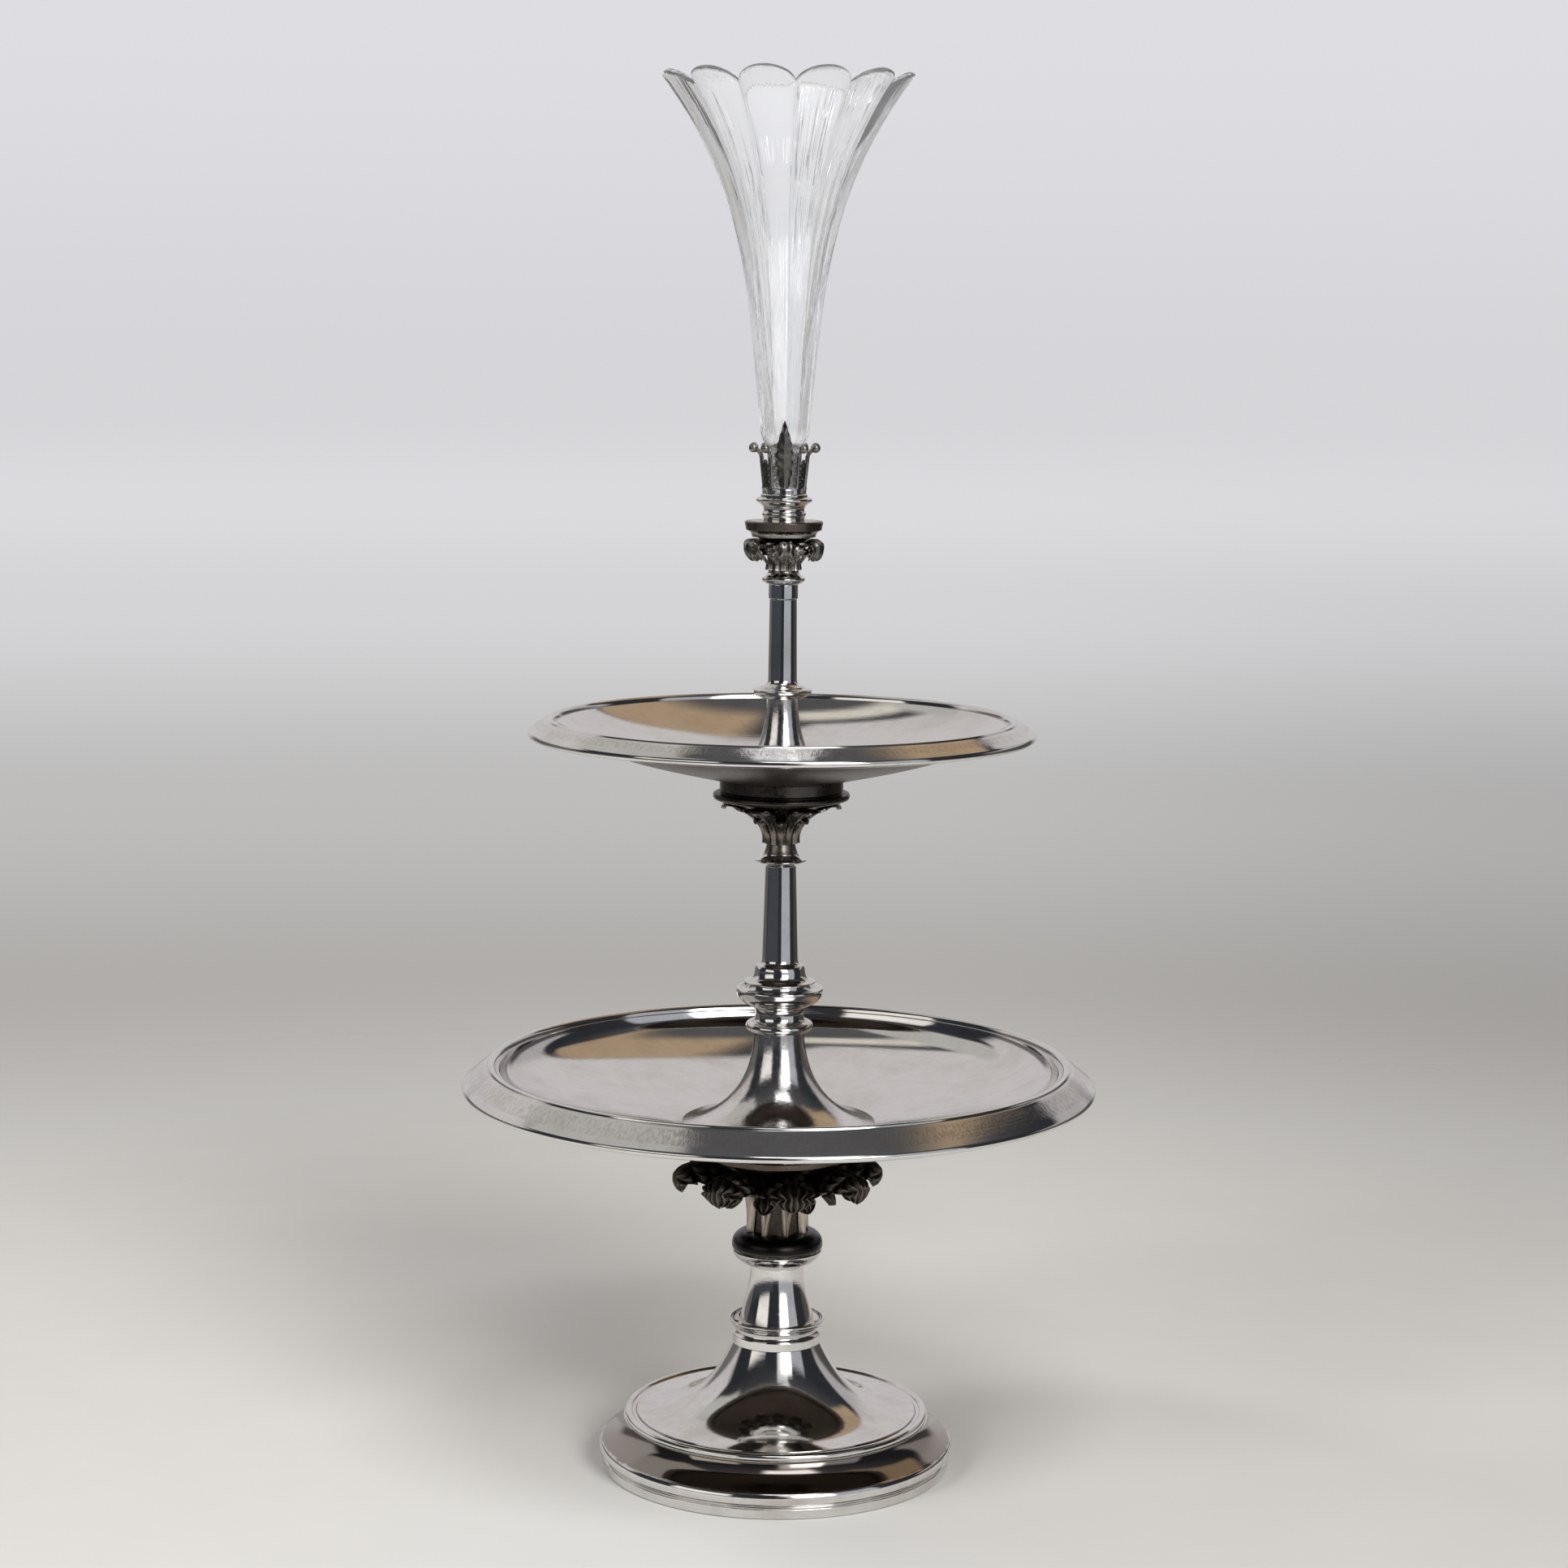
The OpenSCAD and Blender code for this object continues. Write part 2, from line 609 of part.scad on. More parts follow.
// A spun saucer with a crest, a border that slopes outwards and a beaded edge
module saucer(hole_r, flat_r, crest_r, border_w, drop, h) {
  crest_round = 1.9;
  bead = 1.25;
  rise = crest_r - flat_r;
  edge_r = crest_r + border_w;
  slope = atan2(drop - crest_round, border_w - crest_round);
  crest_c = [crest_r, h - crest_round];
  bead_c = [edge_r - bead, h - drop];
  crest_in = 175;
  crest_out = 90 - slope;
  half_turn = 180;
  top = concat(
    [[hole_r, sheet_t]],
    curve([flat_r, sheet_t], [flat_r + 0.5 * rise, sheet_t + 0.26 * h],
      [crest_r - 0.065 * rise - crest_round, sheet_t + 0.46 * h],
      crest_c + crest_round * [cos(crest_in), sin(crest_in)], 20),
    arc(crest_c, crest_round, crest_in, crest_out, 8)
  );
  border = [bead_c + bead * [sin(slope), cos(slope)]];
  edge = arc(bead_c, bead, crest_out, crest_out - half_turn, 10);
  turned(concat(top, border, edge, reversed(shifted(top, -sheet_t))));
}

module lower_dish() {
  color(bright_silver)
  translate([0, 0, z_dish1])
  saucer(bore1_r, dish1_flat_r, dish1_crest_r, dish1_border_w, dish1_border_drop, dish1_h);
}

module upper_dish() {
  color(bright_silver)
  translate([0, 0, z_dish2])
  saucer(bore2_r, dish2_flat_r, dish2_crest_r, dish2_border_w, dish2_border_drop, dish2_h);
}

// Lower column

// A spun trumpet cone with a plain bore at its top for a soldered bush
module trumpet_cone(foot_r, top_r, h, bush_r, line) {
  bore = bush_r + solder_gap;
  inner = [for (q = shifted(line, sheet_t)) if (q.x > bore + 0.3 && q.y > 0) q];
  bore_foot = [bore, inner[len(inner) - 1].y + 0.5];
  turned(concat([[foot_r - 1, 0]], line, [[bore, h], bore_foot], reversed(inner)));
}

function cone1_line() = concat(
  [[cone1_foot_r, 0.2]],
  curve([cone1_foot_r, 0.9], [cone1_top_r + 0.36 * (cone1_foot_r - cone1_top_r), 0.11 * cone1_h],
    [cone1_top_r + 1.2, 0.47 * cone1_h], [cone1_top_r, cone1_h], 20));

module lower_cone() {
  color(bright_silver)
  translate([0, 0, z_cone1])
  trumpet_cone(cone1_foot_r, cone1_top_r, cone1_h, bush1_r, cone1_line());
}

module lower_bush() {
  foot_gap = 1;
  stud_room = z_dish1 + stud1_l - z_cone1 + 1.5;
  color(brass)
  translate([0, 0, z_cone1])
  turned([
    [0, stud_room], [bore1_r, stud_room], [bore1_r, foot_gap], [bush1_r, foot_gap],
    [bush1_r, cone1_h], [rod2_r + solder_gap, cone1_h],
    [rod2_r + solder_gap, stud_room + web_t], [0, stud_room + web_t]
  ]);
}

module lower_ring() {
  color(bright_silver)
  translate([0, 0, z_ring1])
  turned(concat(
    [[bore2_r, 0], [cone1_top_r, 0]],
    curve([cone1_top_r + 1, 0], [ring1_r + 0.4, 0], [ring1_r + 0.4, ring1_h], [neck1_r + 1.4, ring1_h]),
    curve([neck1_r + 0.5, ring1_h + 0.5], [neck1_r - 0.3, ring1_h + 1.5],
      [neck1_r - 0.3, ring1_h + 0.7 * neck1_h], [neck1_r, ring1_h + neck1_h], 8),
    [[bore2_r, ring1_h + neck1_h]]
  ));
}

module cup_knop() {
  rim_z = 0.8 * cup_h;
  color(silver)
  translate([0, 0, z_cup])
  turned(concat(
    [[bore2_r, 0], [neck1_r, 0]],
    curve([neck1_r + 0.5, 0.3], [neck1_r + 0.7 * (cup_r - neck1_r), 0.16 * cup_h],
      [cup_r - 0.4, 0.42 * cup_h], [cup_r, rim_z - 0.6]),
    [[cup_r - 0.3, rim_z], [cup_r - 1.2, rim_z - 0.1]],
    curve([cup_r - 2, rim_z - 0.9], [stage_r + 3, rim_z - 1.2],
      [stage_r + 2.5, rim_z + 0.1], [stage_r + 2, cup_h], 6),
    [[bore2_r, cup_h]]
  ));
}

module shaft_stage() {
  skirt_r = stage_r + 4.4;
  color(silver)
  translate([0, 0, z_stage])
  turned(concat(
    [[bore2_r, 0], [stage_r + 2, 0], [skirt_r, 0.1], [skirt_r, 0.6]],
    curve([skirt_r - 0.3, 0.8], [stage_r + 0.8, 0.16 * stage_h],
      [stage_r + 0.2, 0.45 * stage_h], [stage_r, 0.86 * stage_h], 8),
    [[stage_r - 0.6, stage_h], [bore2_r, stage_h]]
  ));
}

module lower_shaft() {
  tube_r = shaft1_top_r - 1.6;
  color(bright_silver)
  translate([0, 0, z_shaft1])
  turned(concat(
    [[tube_r, 0]],
    curve([shaft1_foot_r + 2, 0], [shaft1_foot_r + 0.4, 0.6], [shaft1_foot_r, 1.4], [shaft1_foot_r, 3.6], 6),
    [[shaft1_top_r, shaft1_h], [tube_r, shaft1_h]]
  ));
}

module lower_astragal() {
  color(silver)
  translate([0, 0, z_astragal1])
  turned(concat(
    [[bore2_r, 0], [shaft1_top_r + 0.4, 0]],
    curve([shaft1_top_r + 0.6, 0.3], [shaft1_top_r + 1.2, 0.24 * astragal1_h],
      [astragal1_r - 1, 0.3 * astragal1_h], [astragal1_r, 0.38 * astragal1_h], 6),
    [[astragal1_r, 0.46 * astragal1_h]],
    curve([astragal1_r - 0.2, 0.5 * astragal1_h], [astragal1_r - 2, 0.6 * astragal1_h],
      [cap2_neck_r + 0.6, 0.7 * astragal1_h], [cap2_neck_r + 0.2, astragal1_h], 6),
    [[bore2_r, astragal1_h]]
  ));
}

// Middle capital

function core2_line() = curve([cap2_neck_r, 0], [cap2_neck_r - 2.8, 0.3 * cap2_h],
  [cap2_neck_r - 1.8, 0.75 * cap2_h], [cap2_top_r, cap2_h], 16);

module middle_capital() {
  color(dark_silver)
  translate([0, 0, z_cap2])
  turned(concat([[bore2_r, 0]], core2_line(), [[bore2_r, cap2_h]]));
}

module middle_capital_leaves() {
  count = 6;
  turn = 30;
  stem_from = 3;
  stem_to = 15;
  stem = on_core(core2_line(), stem_from, stem_to);
  bend = stem[len(stem) - 1];
  blade = clean(concat(
    stem,
    curve(bend, bend + [2, 0.02 * cap2_h], [leaf2_reach, 0.97 * cap2_h], [leaf2_reach + 0.2, 0.84 * cap2_h], 4)
  ));
  blade_n = len(blade) - 1;
  bud_stem = on_core(core2_line(), 3, 9);
  bud_bend = bud_stem[len(bud_stem) - 1];
  bud = clean(concat(
    bud_stem,
    curve(bud_bend, bud_bend + [0.4, 0.1 * cap2_h], bud_bend + [4.4, 0.14 * cap2_h], bud_bend + [4, 0], 4)
  ));
  bud_n = len(bud) - 1;
  bud_half_w = 2.6;
  color(dark_silver)
  translate([0, 0, z_cap2]) {
    around(count, turn)
    leaf(blade, leaf_widths(blade_n, 1.5, leaf2_half_w, 2), leaf_folds(blade_n, 1, 0.7), 1.3, 0.6, 7);
    around(count, turn + 180 / count)
    leaf(bud, leaf_widths(bud_n, 1.4, bud_half_w, 1), leaf_folds(bud_n, 0, 0.6), 1, 0.6, 3);
  }
}

module middle_abacus() {
  groove_r = abacus2_top_r - 0.6;
  color(dark_silver)
  translate([0, 0, z_abacus2])
  difference() {
    turned(concat(
      [[bore2_r, 0], [cap2_top_r + 0.4, 0], [abacus2_r - 2.2, 0.04 * abacus2_h]],
      curve([abacus2_r - 1.6, 0.06 * abacus2_h], [abacus2_r, 0.06 * abacus2_h],
        [abacus2_r, 0.3 * abacus2_h], [abacus2_r - 0.6, 0.34 * abacus2_h], 6),
      [[groove_r, 0.36 * abacus2_h], [groove_r, 0.42 * abacus2_h], [abacus2_top_r, 0.46 * abacus2_h]],
      [[abacus2_top_r, abacus2_h - 0.4], [abacus2_top_r - 0.4, abacus2_h], [bore2_r, abacus2_h]]
    ));
    translate([0, 0, abacus2_h - thin_nut_h - 2 * solder_gap])
    cylinder(r = nut2_r + nut_clear, h = 2 * thin_nut_h, $fn = round_fn);
  }
}

module middle_rod() {
  z_foot = z_dish1 + stud1_l + 1.5 + web_t + solder_gap;
  rod_l = z_dish2 + stud2_l - z_foot;
  color(steel)
  translate([0, 0, z_foot])
  turned([[0, 0], [rod2_r, 0], [rod2_r, rod_l - 1], [rod2_r - 1, rod_l], [0, rod_l]]);
}

module middle_nut() {
  color(brass)
  translate([0, 0, z_abacus2 + abacus2_h - thin_nut_h - 2 * solder_gap])
  hex_nut(nut2_r, rod2_r + solder_gap, thin_nut_h);
}

// Upper column

function cone2_line() = concat(
  [[cone2_foot_r, 0.2]],
  curve([cone2_foot_r, 0.7], [cone2_top_r + 0.45 * (cone2_foot_r - cone2_top_r), 0.25 * cone2_h],
    [cone2_top_r + 0.1, 0.62 * cone2_h], [cone2_top_r, cone2_h], 16));

module upper_cone() {
  color(bright_silver)
  translate([0, 0, z_cone2])
  trumpet_cone(cone2_foot_r, cone2_top_r, cone2_h, bush2_r, cone2_line());
}

module upper_bush() {
  foot_gap = 1;
  stud_room = z_dish2 + stud2_l - z_cone2 + 1.5;
  color(brass)
  translate([0, 0, z_cone2])
  turned([
    [0, stud_room], [bore2_r, stud_room], [bore2_r, foot_gap], [bush2_r, foot_gap],
    [bush2_r, cone2_h], [rod3_r + solder_gap, cone2_h],
    [rod3_r + solder_gap, stud_room + web_t], [0, stud_room + web_t]
  ]);
}

module upper_ring() {
  color(bright_silver)
  translate([0, 0, z_ring2])
  turned(concat(
    [[bore3_r, 0], [cone2_top_r, 0]],
    curve([cone2_top_r + 0.6, 0.1], [ring2_r - 2.4, 0.1 * ring2_h],
      [ring2_r - 0.4, 0.26 * ring2_h], [ring2_r, 0.54 * ring2_h], 8),
    [[ring2_r, 0.72 * ring2_h]],
    curve([ring2_r - 0.5, 0.82 * ring2_h], [shaft2_foot_r + 4, 0.74 * ring2_h],
      [shaft2_foot_r + 3.4, 0.84 * ring2_h], [shaft2_foot_r + 2.9, ring2_h], 6),
    [[bore3_r, ring2_h]]
  ));
}

module upper_shaft() {
  tube_r = shaft2_top_r - 1.5;
  band_l = 5.6;
  band_r = shaft2_top_r + 0.45;
  color(bright_silver)
  translate([0, 0, z_shaft2])
  turned(concat(
    [[tube_r, 0]],
    curve([shaft2_foot_r + 2.7, 0], [shaft2_foot_r + 1, 0.5], [shaft2_foot_r, 1.2], [shaft2_foot_r, 3.4], 6),
    [[shaft2_top_r, shaft2_h - band_l - 0.4], [band_r, shaft2_h - band_l]],
    [[band_r, shaft2_h], [tube_r, shaft2_h]]
  ));
}

module upper_astragal() {
  color(bright_silver)
  translate([0, 0, z_astragal2])
  turned(concat(
    [[bore3_r, 0], [shaft2_top_r + 0.5, 0]],
    curve([shaft2_top_r + 0.8, 0.2], [shaft2_top_r + 2, 0.12 * astragal2_h],
      [astragal2_r - 0.4, 0.24 * astragal2_h], [astragal2_r, 0.4 * astragal2_h], 6),
    [[astragal2_r, 0.54 * astragal2_h]],
    curve([astragal2_r - 0.3, 0.6 * astragal2_h], [cap3_neck_r + 1.2, 0.66 * astragal2_h],
      [cap3_neck_r + 0.6, 0.8 * astragal2_h], [cap3_neck_r + 0.2, astragal2_h], 6),
    [[bore3_r, astragal2_h]]
  ));
}

// Top capital

function core3_line() = curve([cap3_neck_r, 0], [cap3_neck_r - 1.4, 0.3 * cap3_h],
  [cap3_neck_r - 1, 0.8 * cap3_h], [cap3_top_r, cap3_h], 16);

module top_capital() {
  color(dark_silver)
  translate([0, 0, z_cap3])
  turned(concat([[bore3_r, 0]], core3_line(), [[bore3_r, cap3_h]]));
}

module top_capital_leaves() {
  count = 6;
  turn = 4;
  stem = on_core(core3_line(), 1, 9);
  bend = stem[len(stem) - 1];
  blade = clean(concat(
    stem,
    curve(bend, bend + [0.7, 0.22 * cap3_h], [leaf3_reach - 3, 1.05 * cap3_h],
      [leaf3_reach - 0.4, 0.84 * cap3_h], 5),
    curve([leaf3_reach - 0.4, 0.84 * cap3_h], [leaf3_reach + 0.8, 0.62 * cap3_h],
      [leaf3_reach - 3, 0.44 * cap3_h], [leaf3_reach - 4.6, 0.6 * cap3_h], 5)
  ));
  blade_n = len(blade) - 1;
  color(dark_silver)
  translate([0, 0, z_cap3])
  around(count, turn)
  leaf(blade, leaf_widths(blade_n, 1.7, leaf3_half_w, 2), leaf_folds(blade_n, 1.6, 0.6), 1, 0.5, 5);
}

module top_abacus() {
  tier_z = 0.42 * abacus3_h;
  tier_r = abacus3_r - 3.1;
  color(silver)
  translate([0, 0, z_abacus3])
  turned(concat(
    [[bore3_r, 0], [cap3_top_r + 0.4, 0], [tier_r, 0.1]],
    curve([tier_r + 0.1, 0.2], [tier_r + 0.2, 0.7 * tier_z],
      [tier_r + 1, 0.9 * tier_z], [abacus3_r - 1, tier_z], 6),
    [[abacus3_r - 0.6, tier_z + 0.2], [abacus3_r, abacus3_h - 0.5], [abacus3_r - 0.5, abacus3_h]],
    [[bore3_r, abacus3_h]]
  ));
}

module top_rod() {
  z_foot = z_dish2 + stud2_l + 1.5 + web_t + solder_gap;
  rod_l = z_socket + socket_floor_t + thin_nut_h - z_foot;
  color(steel)
  translate([0, 0, z_foot])
  turned([[0, 0], [rod3_r, 0], [rod3_r, rod_l], [0, rod_l]]);
}

module top_nut() {
  color(brass)
  translate([0, 0, z_socket + socket_floor_t])
  hex_nut(nut3_r, rod3_r + solder_gap, thin_nut_h);
}

// Crown socket

module socket_cup() {
  cup_wall_r = socket_r + 0.8;
  bead_r = 1;
  bead_in = 0.3;
  bead_turn = 50;
  color(bright_silver)
  translate([0, 0, z_socket])
  turned(concat(
    [[bore3_r, 0], [cup_wall_r + 0.2, 0], [cup_wall_r, 0.12 * socket_h]],
    arc([cup_wall_r - bead_in, 0.28 * socket_h], bead_r, -bead_turn, bead_turn, 6),
    [[cup_wall_r, 0.42 * socket_h]],
    curve([cup_wall_r, 0.5 * socket_h], [cup_wall_r + 0.3, 0.66 * socket_h],
      [flange_r - 1, 0.74 * socket_h], [flange_r, 0.82 * socket_h], 8),
    [[flange_r, 0.9 * socket_h], [flange_r - 0.8, 0.96 * socket_h], [cup_wall_r + 1, socket_h]],
    [[socket_r, socket_h], [socket_r, socket_floor_t], [bore3_r, socket_floor_t]]
  ));
}

module crown_band() {
  band_out = crown_in_r + 2 * stalk_r;
  window_w = 2.2;
  window_h = 0.4 * crown_band_h;
  color(silver)
  translate([0, 0, z_band])
  difference() {
    turned([
      [crown_in_r, 0], [band_out + 0.3, 0], [band_out + 0.3, 0.2 * crown_band_h],
      [band_out - 0.2, 0.32 * crown_band_h], [band_out - 0.2, 0.8 * crown_band_h],
      [band_out, 0.88 * crown_band_h], [band_out, crown_band_h], [crown_in_r, crown_band_h]
    ]);
    for (i = [0:crown_count - 1])
      rotate([0, 0, -90 + (i + 0.5) * crown_step])
      translate([crown_in_r - 1, -window_w / 2, 0.38 * crown_band_h])
      cube([2 * stalk_r + 3, window_w, window_h]);
  }
}

// One stalk that leans and then bends outwards, with a ball at its end
module prong() {
  lap = 0.4;
  foot_h = 0.8;
  bend_tube_r = 0.9 * stalk_r;
  span = stalk_bend_angle - stalk_lean;
  top = [stalk_ring_r + stalk_h * sin(stalk_lean), stalk_h * cos(stalk_lean)];
  bend_c = top + stalk_bend_r * [cos(stalk_lean), -sin(stalk_lean)];
  tip = bend_c + stalk_bend_r * [-cos(stalk_bend_angle), sin(stalk_bend_angle)];
  ball_c = tip + 0.3 * ball_r * [1, 1];
  translate([stalk_ring_r, 0, 0]) cylinder(r = stalk_foot_r, h = foot_h, $fn = 24);
  translate([stalk_ring_r, 0, 0])
  rotate([0, stalk_lean, 0])
  translate([0, 0, foot_h / 2])
  cylinder(r = stalk_r, h = stalk_h + lap - foot_h / 2, $fn = 24);
  translate([bend_c.x, 0, bend_c.y])
  rotate([90, 0, 0])
  rotate([0, 0, 180 - stalk_bend_angle])
  rotate_extrude(angle = span, $fn = round_fn)
  translate([stalk_bend_r, 0]) circle(r = bend_tube_r, $fn = 24);
  translate([ball_c.x, 0, ball_c.y]) sphere(r = ball_r, $fn = 32);
}

// One pale of the gallery between two stalks: a leaning strip with cut shoulders, a row of holes and bitten edges
module pale() {
  half_angle = crown_step / 2 - asin((stalk_foot_r + leaf_gap) / stalk_ring_r);
  lean_r = pale_h * tan(stalk_lean);
  pitch = pale_h / (pale_holes + 0.5);
  hole_r = 0.28 * pitch;
  bite_r = 0.24 * pitch;
  bite_angle = half_angle + 1;
  shoulder_r = 0.55 * pitch;
  reach = 2 * stalk_ring_r;
  difference() {
    rotate([0, 0, -half_angle])
    rotate_extrude(angle = 2 * half_angle, $fn = round_fn)
    polygon([
      [stalk_ring_r - pale_t / 2, 0], [stalk_ring_r + pale_t / 2, 0],
      [stalk_ring_r + lean_r + pale_t / 2, pale_h], [stalk_ring_r + lean_r - pale_t / 2, pale_h]
    ]);
    for (k = [1:pale_holes])
      translate([0, 0, (k - 0.25) * pitch]) rotate([0, 90, 0]) cylinder(r = hole_r, h = reach, $fn = 24);
    for (side = [-1, 1]) {
      for (k = [1:pale_holes - 1])
        translate([0, 0, (k + 0.25) * pitch])
        rotate([0, 0, side * bite_angle])
        rotate([0, 90, 0])
        cylinder(r = bite_r, h = reach, $fn = 24);
      translate([0, 0, pale_h + 0.1])
      rotate([0, 0, side * bite_angle])
      rotate([0, 90, 0])
      cylinder(r = shoulder_r, h = reach, $fn = 24);
    }
  }
}

// Stalks and pales stand in turn, apart from the places of the two tall leaves
module crown_prongs() {
  half = crown_count / 2;
  color(dark_silver)
  translate([0, 0, z_crown])
  for (i = [0:crown_count - 1])
    rotate([0, 0, -90 + i * crown_step]) {
      if (i % half != 0) prong();
      if (i % half != 0 && i % half != half - 1) rotate([0, 0, crown_step / 2]) pale();
    }
}

module crown_leaves() {
  foot = crown_in_r + 0.15;
  blade_n = 14;
  blade = curve([foot, 0], [foot + 0.4, 0.4 * crown_leaf_h],
    [foot + 4, 0.62 * crown_leaf_h], [foot + 3.4, crown_leaf_h], blade_n);
  belly = 2.2;
  half_w = [for (i = [0:blade_n]) let (t = i / blade_n, saw = 1 - 0.2 * (i % 2))
    i == blade_n ? 0.3 : (1.9 + belly * sin(180 * t)) * (1 - 0.75 * pow(t, 4)) * saw];
  color(dark_silver)
  translate([0, 0, z_crown + leaf_gap])
  around(2, 0)
  leaf(blade, half_w, leaf_folds(blade_n, 0, 0.6), 1.1, 0.5, 5);
}

// Glass trumpet

// Outer radius of the glass at share u of its fluted height
function trumpet_r(u) = glass_throat_r + (glass_mouth_r - glass_throat_r) * (0.31 * u + 0.69 * pow(u, 4));

// Height of the glass at share u, without its petals
function trumpet_z(u) = z_throat + u * (glass_h - petal_h);

// Wall of the glass at share u
function trumpet_t(u) = glass_throat_t + (glass_rim_t - glass_throat_t) * pow(u, 0.7);

// Height of a petal's arc at column j: one on its crown, nought in the notch
function petal(j) = let (s = 2 * (j % petal_cols) / petal_cols - 1) sqrt(1 - 0.94 * s * s) - sqrt(0.06) * s * s;

// Depth of the flutes, as a share of the radius
function flute(u) = 0.05 + 0.1 * pow(u, 1.5);

// Rings of the skin, from the peg's foot up the outside, over the rim and down the inside;
// each is [radius, height, flute share, petal rise]
function glass_rings() = concat(
  [[peg_r - 0.6, z_peg, 0, 0], [peg_r, z_peg + 0.8, 0, 0], [peg_r, z_shoulder, 0, 0]],
  [for (i = [1:3]) let (t = i / 4)
    [peg_r + (glass_throat_r - peg_r) * t * t * (3 - 2 * t), z_shoulder + t * shoulder_h, 0.012 * i, 0]],
  [for (i = [0:glass_rows]) let (u = i / glass_rows)
    [trumpet_r(u), trumpet_z(u), flute(u), petal_h * pow(u, 6)]],
  [for (i = [glass_rows:-2:0]) let (u = i / glass_rows)
    [trumpet_r(u) - trumpet_t(u), trumpet_z(u) + rim_slope * u, 0.8 * flute(u) * u, petal_h * pow(u, 6)]],
  [[0.8 * (glass_throat_r - glass_throat_t), z_shoulder + glass_floor_t * 0.5, 0, 0]]
);

module glass_vase() {
  rings = glass_rings();
  n = len(rings);
  function at(i, j) = i * glass_cols + j % glass_cols;
  skin_points = [for (g = rings, j = [0:glass_cols - 1]) let (
      a = j * 360 / glass_cols,
      r = g[0] * (1 - g[2] * (1 - petal(j)))
    ) [r * cos(a), r * sin(a), g[1] + g[3] * petal(j)]];
  walls = [for (i = [0:n - 2], j = [0:glass_cols - 1], k = [0, 1])
    k == 0 ? [at(i, j), at(i + 1, j), at(i + 1, j + 1)] : [at(i, j), at(i + 1, j + 1), at(i, j + 1)]];
  foot = [for (j = [0:glass_cols - 1]) j];
  floor_in = [for (j = [glass_cols - 1:-1:0]) at(n - 1, j)];
  color(clear_glass)
  rotate([0, 0, -90 + glass_turn])
  polyhedron(points = skin_points, faces = concat(walls, [foot, floor_in]));
}

base_plinth();
base_bell();
base_clamp_plate();
base_nut();
base_rod();
stem_collar();
stem_vase();
stem_knop();
lower_capital();
lower_capital_leaves();
lower_abacus();
lower_nut();
lower_dish();
lower_cone();
lower_bush();
lower_ring();
cup_knop();
shaft_stage();
lower_shaft();
lower_astragal();
middle_capital();
middle_capital_leaves();
middle_abacus();
middle_rod();
middle_nut();
upper_dish();
upper_cone();
upper_bush();
upper_ring();
upper_shaft();
upper_astragal();
top_capital();
top_capital_leaves();
top_abacus();
top_rod();
top_nut();
socket_cup();
crown_band();
crown_prongs();
crown_leaves();
glass_vase();
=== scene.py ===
"""Looks of a two-tier epergne: silver-plated stem and dishes, leaf capitals, fluted glass trumpet.

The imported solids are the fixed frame. Each class below models one sub-assembly over its solids and
dresses it. Sizes in the classes are millimetres; meshes are in metres.
"""

import logging
import math
from dataclasses import dataclass, replace
from enum import Enum
from typing import Callable, Sequence

import bpy
import numpy as np
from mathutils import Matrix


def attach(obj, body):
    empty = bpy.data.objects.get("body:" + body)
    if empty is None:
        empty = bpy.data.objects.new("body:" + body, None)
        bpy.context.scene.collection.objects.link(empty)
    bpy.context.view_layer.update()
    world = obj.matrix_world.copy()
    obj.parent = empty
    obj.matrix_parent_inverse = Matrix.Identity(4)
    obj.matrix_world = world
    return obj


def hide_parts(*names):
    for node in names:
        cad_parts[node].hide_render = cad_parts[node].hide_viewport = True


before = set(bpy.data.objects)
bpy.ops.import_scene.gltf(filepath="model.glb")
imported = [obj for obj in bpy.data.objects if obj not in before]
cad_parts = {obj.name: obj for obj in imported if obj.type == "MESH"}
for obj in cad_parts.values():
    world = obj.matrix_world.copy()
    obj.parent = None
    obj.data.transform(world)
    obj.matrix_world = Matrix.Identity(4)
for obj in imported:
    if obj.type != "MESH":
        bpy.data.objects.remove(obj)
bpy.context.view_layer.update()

MM = 0.001
LOG = logging.getLogger("epergne")

Point = tuple[float, float]
Outline = list[Point]
Colour = tuple[float, float, float]
Piece = bpy.types.Object
Socket = bpy.types.NodeSocket


class Body(Enum):
    """Moving groups of the part, by the names of its frame."""

    BASE = "base"
    LOWER_DISH = "lower_dish_body"
    LOWER_COLUMN = "lower_column"
    UPPER_DISH = "upper_dish_body"
    UPPER_COLUMN = "upper_column"
    VASE = "vase"


class Slot(Enum):
    """Material slots of the part's record."""

    SILVER = "silver_plate"
    DARK = "dark_silver"
    BRASS = "brass"
    STEEL = "steel"
    GLASS = "clear_glass"


# Profile lines


def arc(cx: float, cz: float, r: float, a0: float, a1: float, n: int = 10) -> Outline:
    """Points of an arc round (cx, cz) from angle a0 to a1, in degrees, in n steps."""
    steps = [math.radians(a0 + (a1 - a0) * i / n) for i in range(n + 1)]
    return [(cx + r * math.cos(a), cz + r * math.sin(a)) for a in steps]


def cubic(p0: Point, p1: Point, p2: Point, p3: Point, n: int = 18) -> Outline:
    """Points of a cubic curve.

    Args:
        p0: Start.
        p1: First handle.
        p2: Second handle.
        p3: End.
        n: Number of steps.

    Returns:
        The points in order.
    """
    out: Outline = []
    for i in range(n + 1):
        t = i / n
        u = 1 - t
        w = (u * u * u, 3 * u * u * t, 3 * u * t * t, t * t * t)
        ends = zip(p0, p1, p2, p3)
        out.append(tuple(w[0] * a + w[1] * b + w[2] * c + w[3] * d for a, b, c, d in ends))
    return out


def lifted(line: Sequence[Point], dz: float) -> Outline:
    """A line moved up by dz."""
    return [(r, z + dz) for r, z in line]


def between(a: Point, b: Point, k: float) -> Point:
    """The point at share k of the way from a to b."""
    return a[0] + k * (b[0] - a[0]), a[1] + k * (b[1] - a[1])


